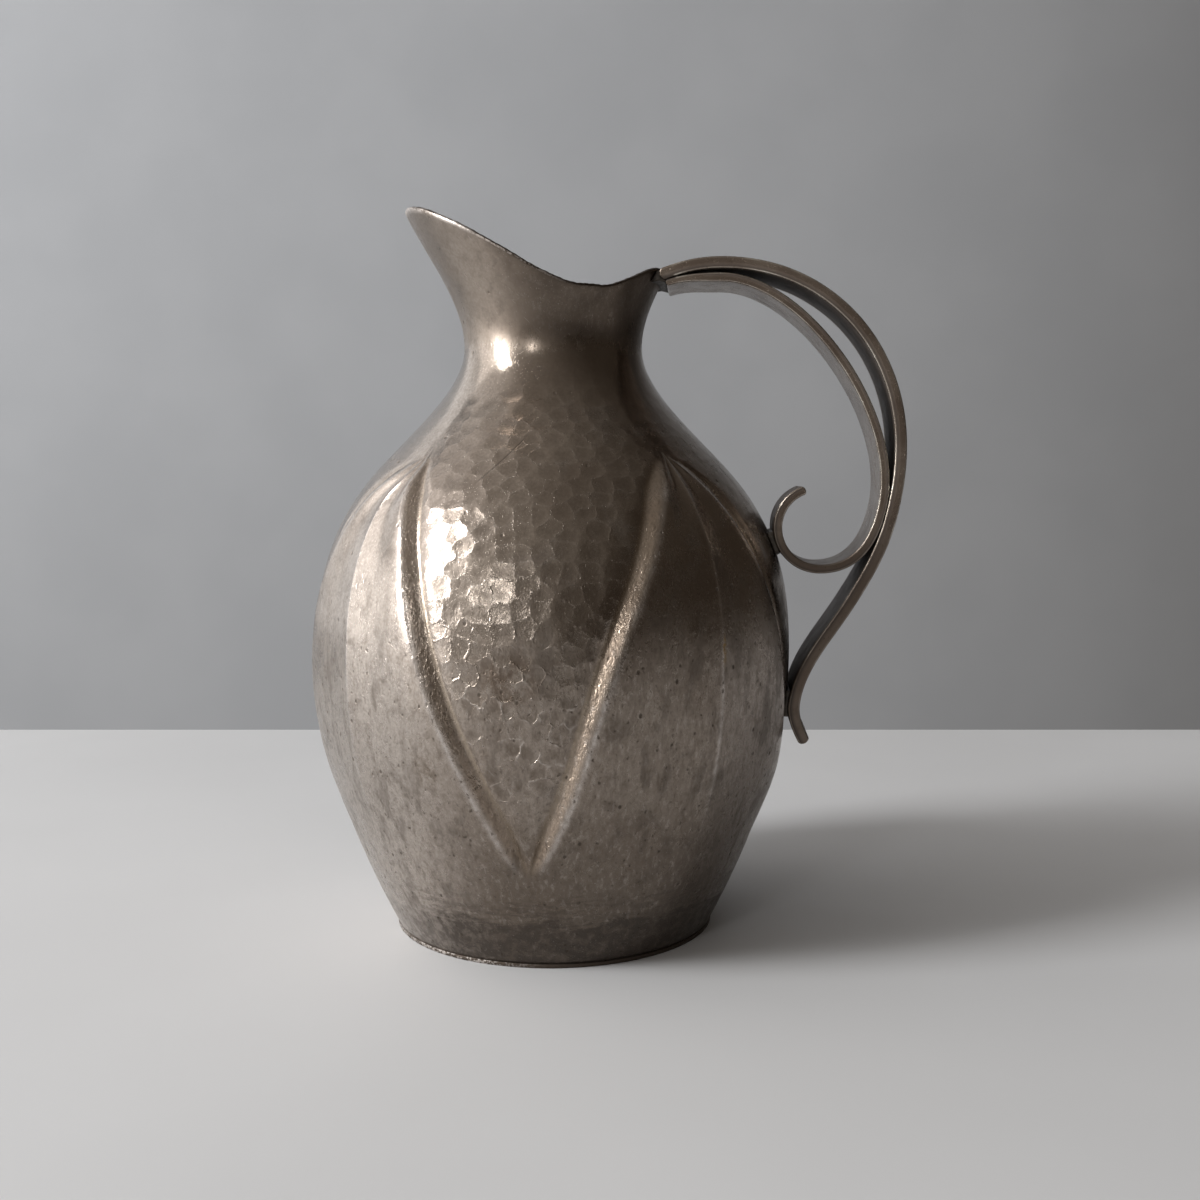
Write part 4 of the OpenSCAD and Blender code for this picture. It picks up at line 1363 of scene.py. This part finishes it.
# Stage in metres: half width, near and far edge as y and z, two paints and the share of painted shade that
# darkens it to the right
STAGE = {
    "floor": (
        2.5, (-0.62, 0.0), (0.302, 0.0), rgb(0.66, 0.665, 0.675), rgb(0.69, 0.695, 0.705), 0.0),
    "backdrop": (
        4.0, (1.3, -1.5), (1.3, 2.5), rgb(0.41, 0.424, 0.447), rgb(0.437, 0.451, 0.474), 0.8),
}
STAGE_CLOUD = (6.0, 3.0)
STAGE_ROUGH = 0.7
RIGHT_SHADE_X = (0.2, 1.6)


def stage_material(name, paint, other, right_shade):
    """Plain paint, darkened far to the right by a share as painted shade."""
    s = Shader(bpy.data.materials.new(name))
    place = s.node("ShaderNodeTexCoord", out="Object")
    tone = s.blend(s.ramp(s.noise(place, *STAGE_CLOUD), 0.3, 0.7), paint, other)
    tone = s.blend(s.ramp(s.split(place)[0], *RIGHT_SHADE_X, 0.0, right_shade), tone, ROOM_DARK)
    shine = s.node("ShaderNodeBsdfPrincipled", {"Base Color": tone, "Roughness": STAGE_ROUGH})
    s.node("ShaderNodeOutputMaterial", (shine,))
    return s.owner


def build_stage():
    for name, (side, near, far, paint, other, right_shade) in STAGE.items():
        mesh = bpy.data.meshes.new(name)
        corners = [(-side, *near), (side, *near), (side, *far), (-side, *far)]
        mesh.from_pydata(corners, [], [(0, 1, 2, 3)])
        mesh.materials.append(stage_material(name, paint, other, right_shade))
        plane = bpy.data.objects.new(name, mesh)
        plane.rotation_euler[2] = math.radians(CAMERA_TURN[2])
        bpy.context.scene.collection.objects.link(plane)


def area_light(name, azimuth, elevation, distance, width, height, radiance):
    """A soft panel seen from the jug at an azimuth from the camera's side and an elevation."""
    a = math.radians(azimuth)
    e = math.radians(elevation)
    out = Vector((math.sin(a) * math.cos(e), -math.cos(a) * math.cos(e), math.sin(e)))
    data = bpy.data.lights.new(name, "AREA")
    data.shape = "RECTANGLE"
    data.size = width
    data.size_y = height
    data.energy = radiance * math.pi * width * height
    lamp = bpy.data.objects.new(name, data)
    lamp.location = out * distance + Vector((0.0, 0.0, LAMP_AIM_Z))
    lamp.rotation_euler = out.to_track_quat("Z", "Y").to_euler()
    bpy.context.scene.collection.objects.link(lamp)


def build_light():
    for name, facts in LAMPS.items():
        area_light(name, *facts)
    world = bpy.data.worlds.new("room")
    bpy.context.scene.world = world
    s = Shader(world)
    look = s.node("ShaderNodeTexCoord", out="Generated")
    colour = ROOM_DARK
    for side, spread, shade in ROOM_SIDES:
        along = s.vector("DOT_PRODUCT", look, side, out="Value")
        colour = s.blend(s.ramp(along, *spread), colour, shade)
    room = s.node("ShaderNodeBackground", (colour,))
    s.node("ShaderNodeOutputWorld", (room,))


def build_camera():
    data = bpy.data.cameras.new("camera")
    data.lens = CAMERA_LENS
    data.sensor_width = CAMERA_SENSOR
    data.clip_start = CAMERA_NEAR
    camera = bpy.data.objects.new("camera", data)
    camera.location = Vector(CAMERA_AT) * MM
    camera.rotation_euler = [math.radians(a) for a in CAMERA_TURN]
    bpy.context.scene.collection.objects.link(camera)
    bpy.context.scene.camera = camera


body_finish = body_material()
strap_finish = strap_material()
solder_finish = solder_material()
build_body(body_finish)
build_base(body_finish)
build_seam(solder_finish)
outer_line, inner_line = handle_lines()
build_strap(
    "handle_outer", "handle_outer_strap", outer_line, outer_thickness, strap_finish, OUTER_SEED, GAP_BELOW)
build_strap(
    "handle_inner", "handle_inner_strap", inner_line, inner_thickness, strap_finish, INNER_SEED, GAP_ABOVE)
build_rim_solder(solder_finish, outer_line, inner_line)
for name, node, unevenness in SOLDER_RUNS:
    build_solder(name, node, solder_finish, unevenness)
build_stage()
build_light()
build_camera()

bpy.context.scene.view_settings.view_transform = "Standard"
bpy.context.view_layer.update()
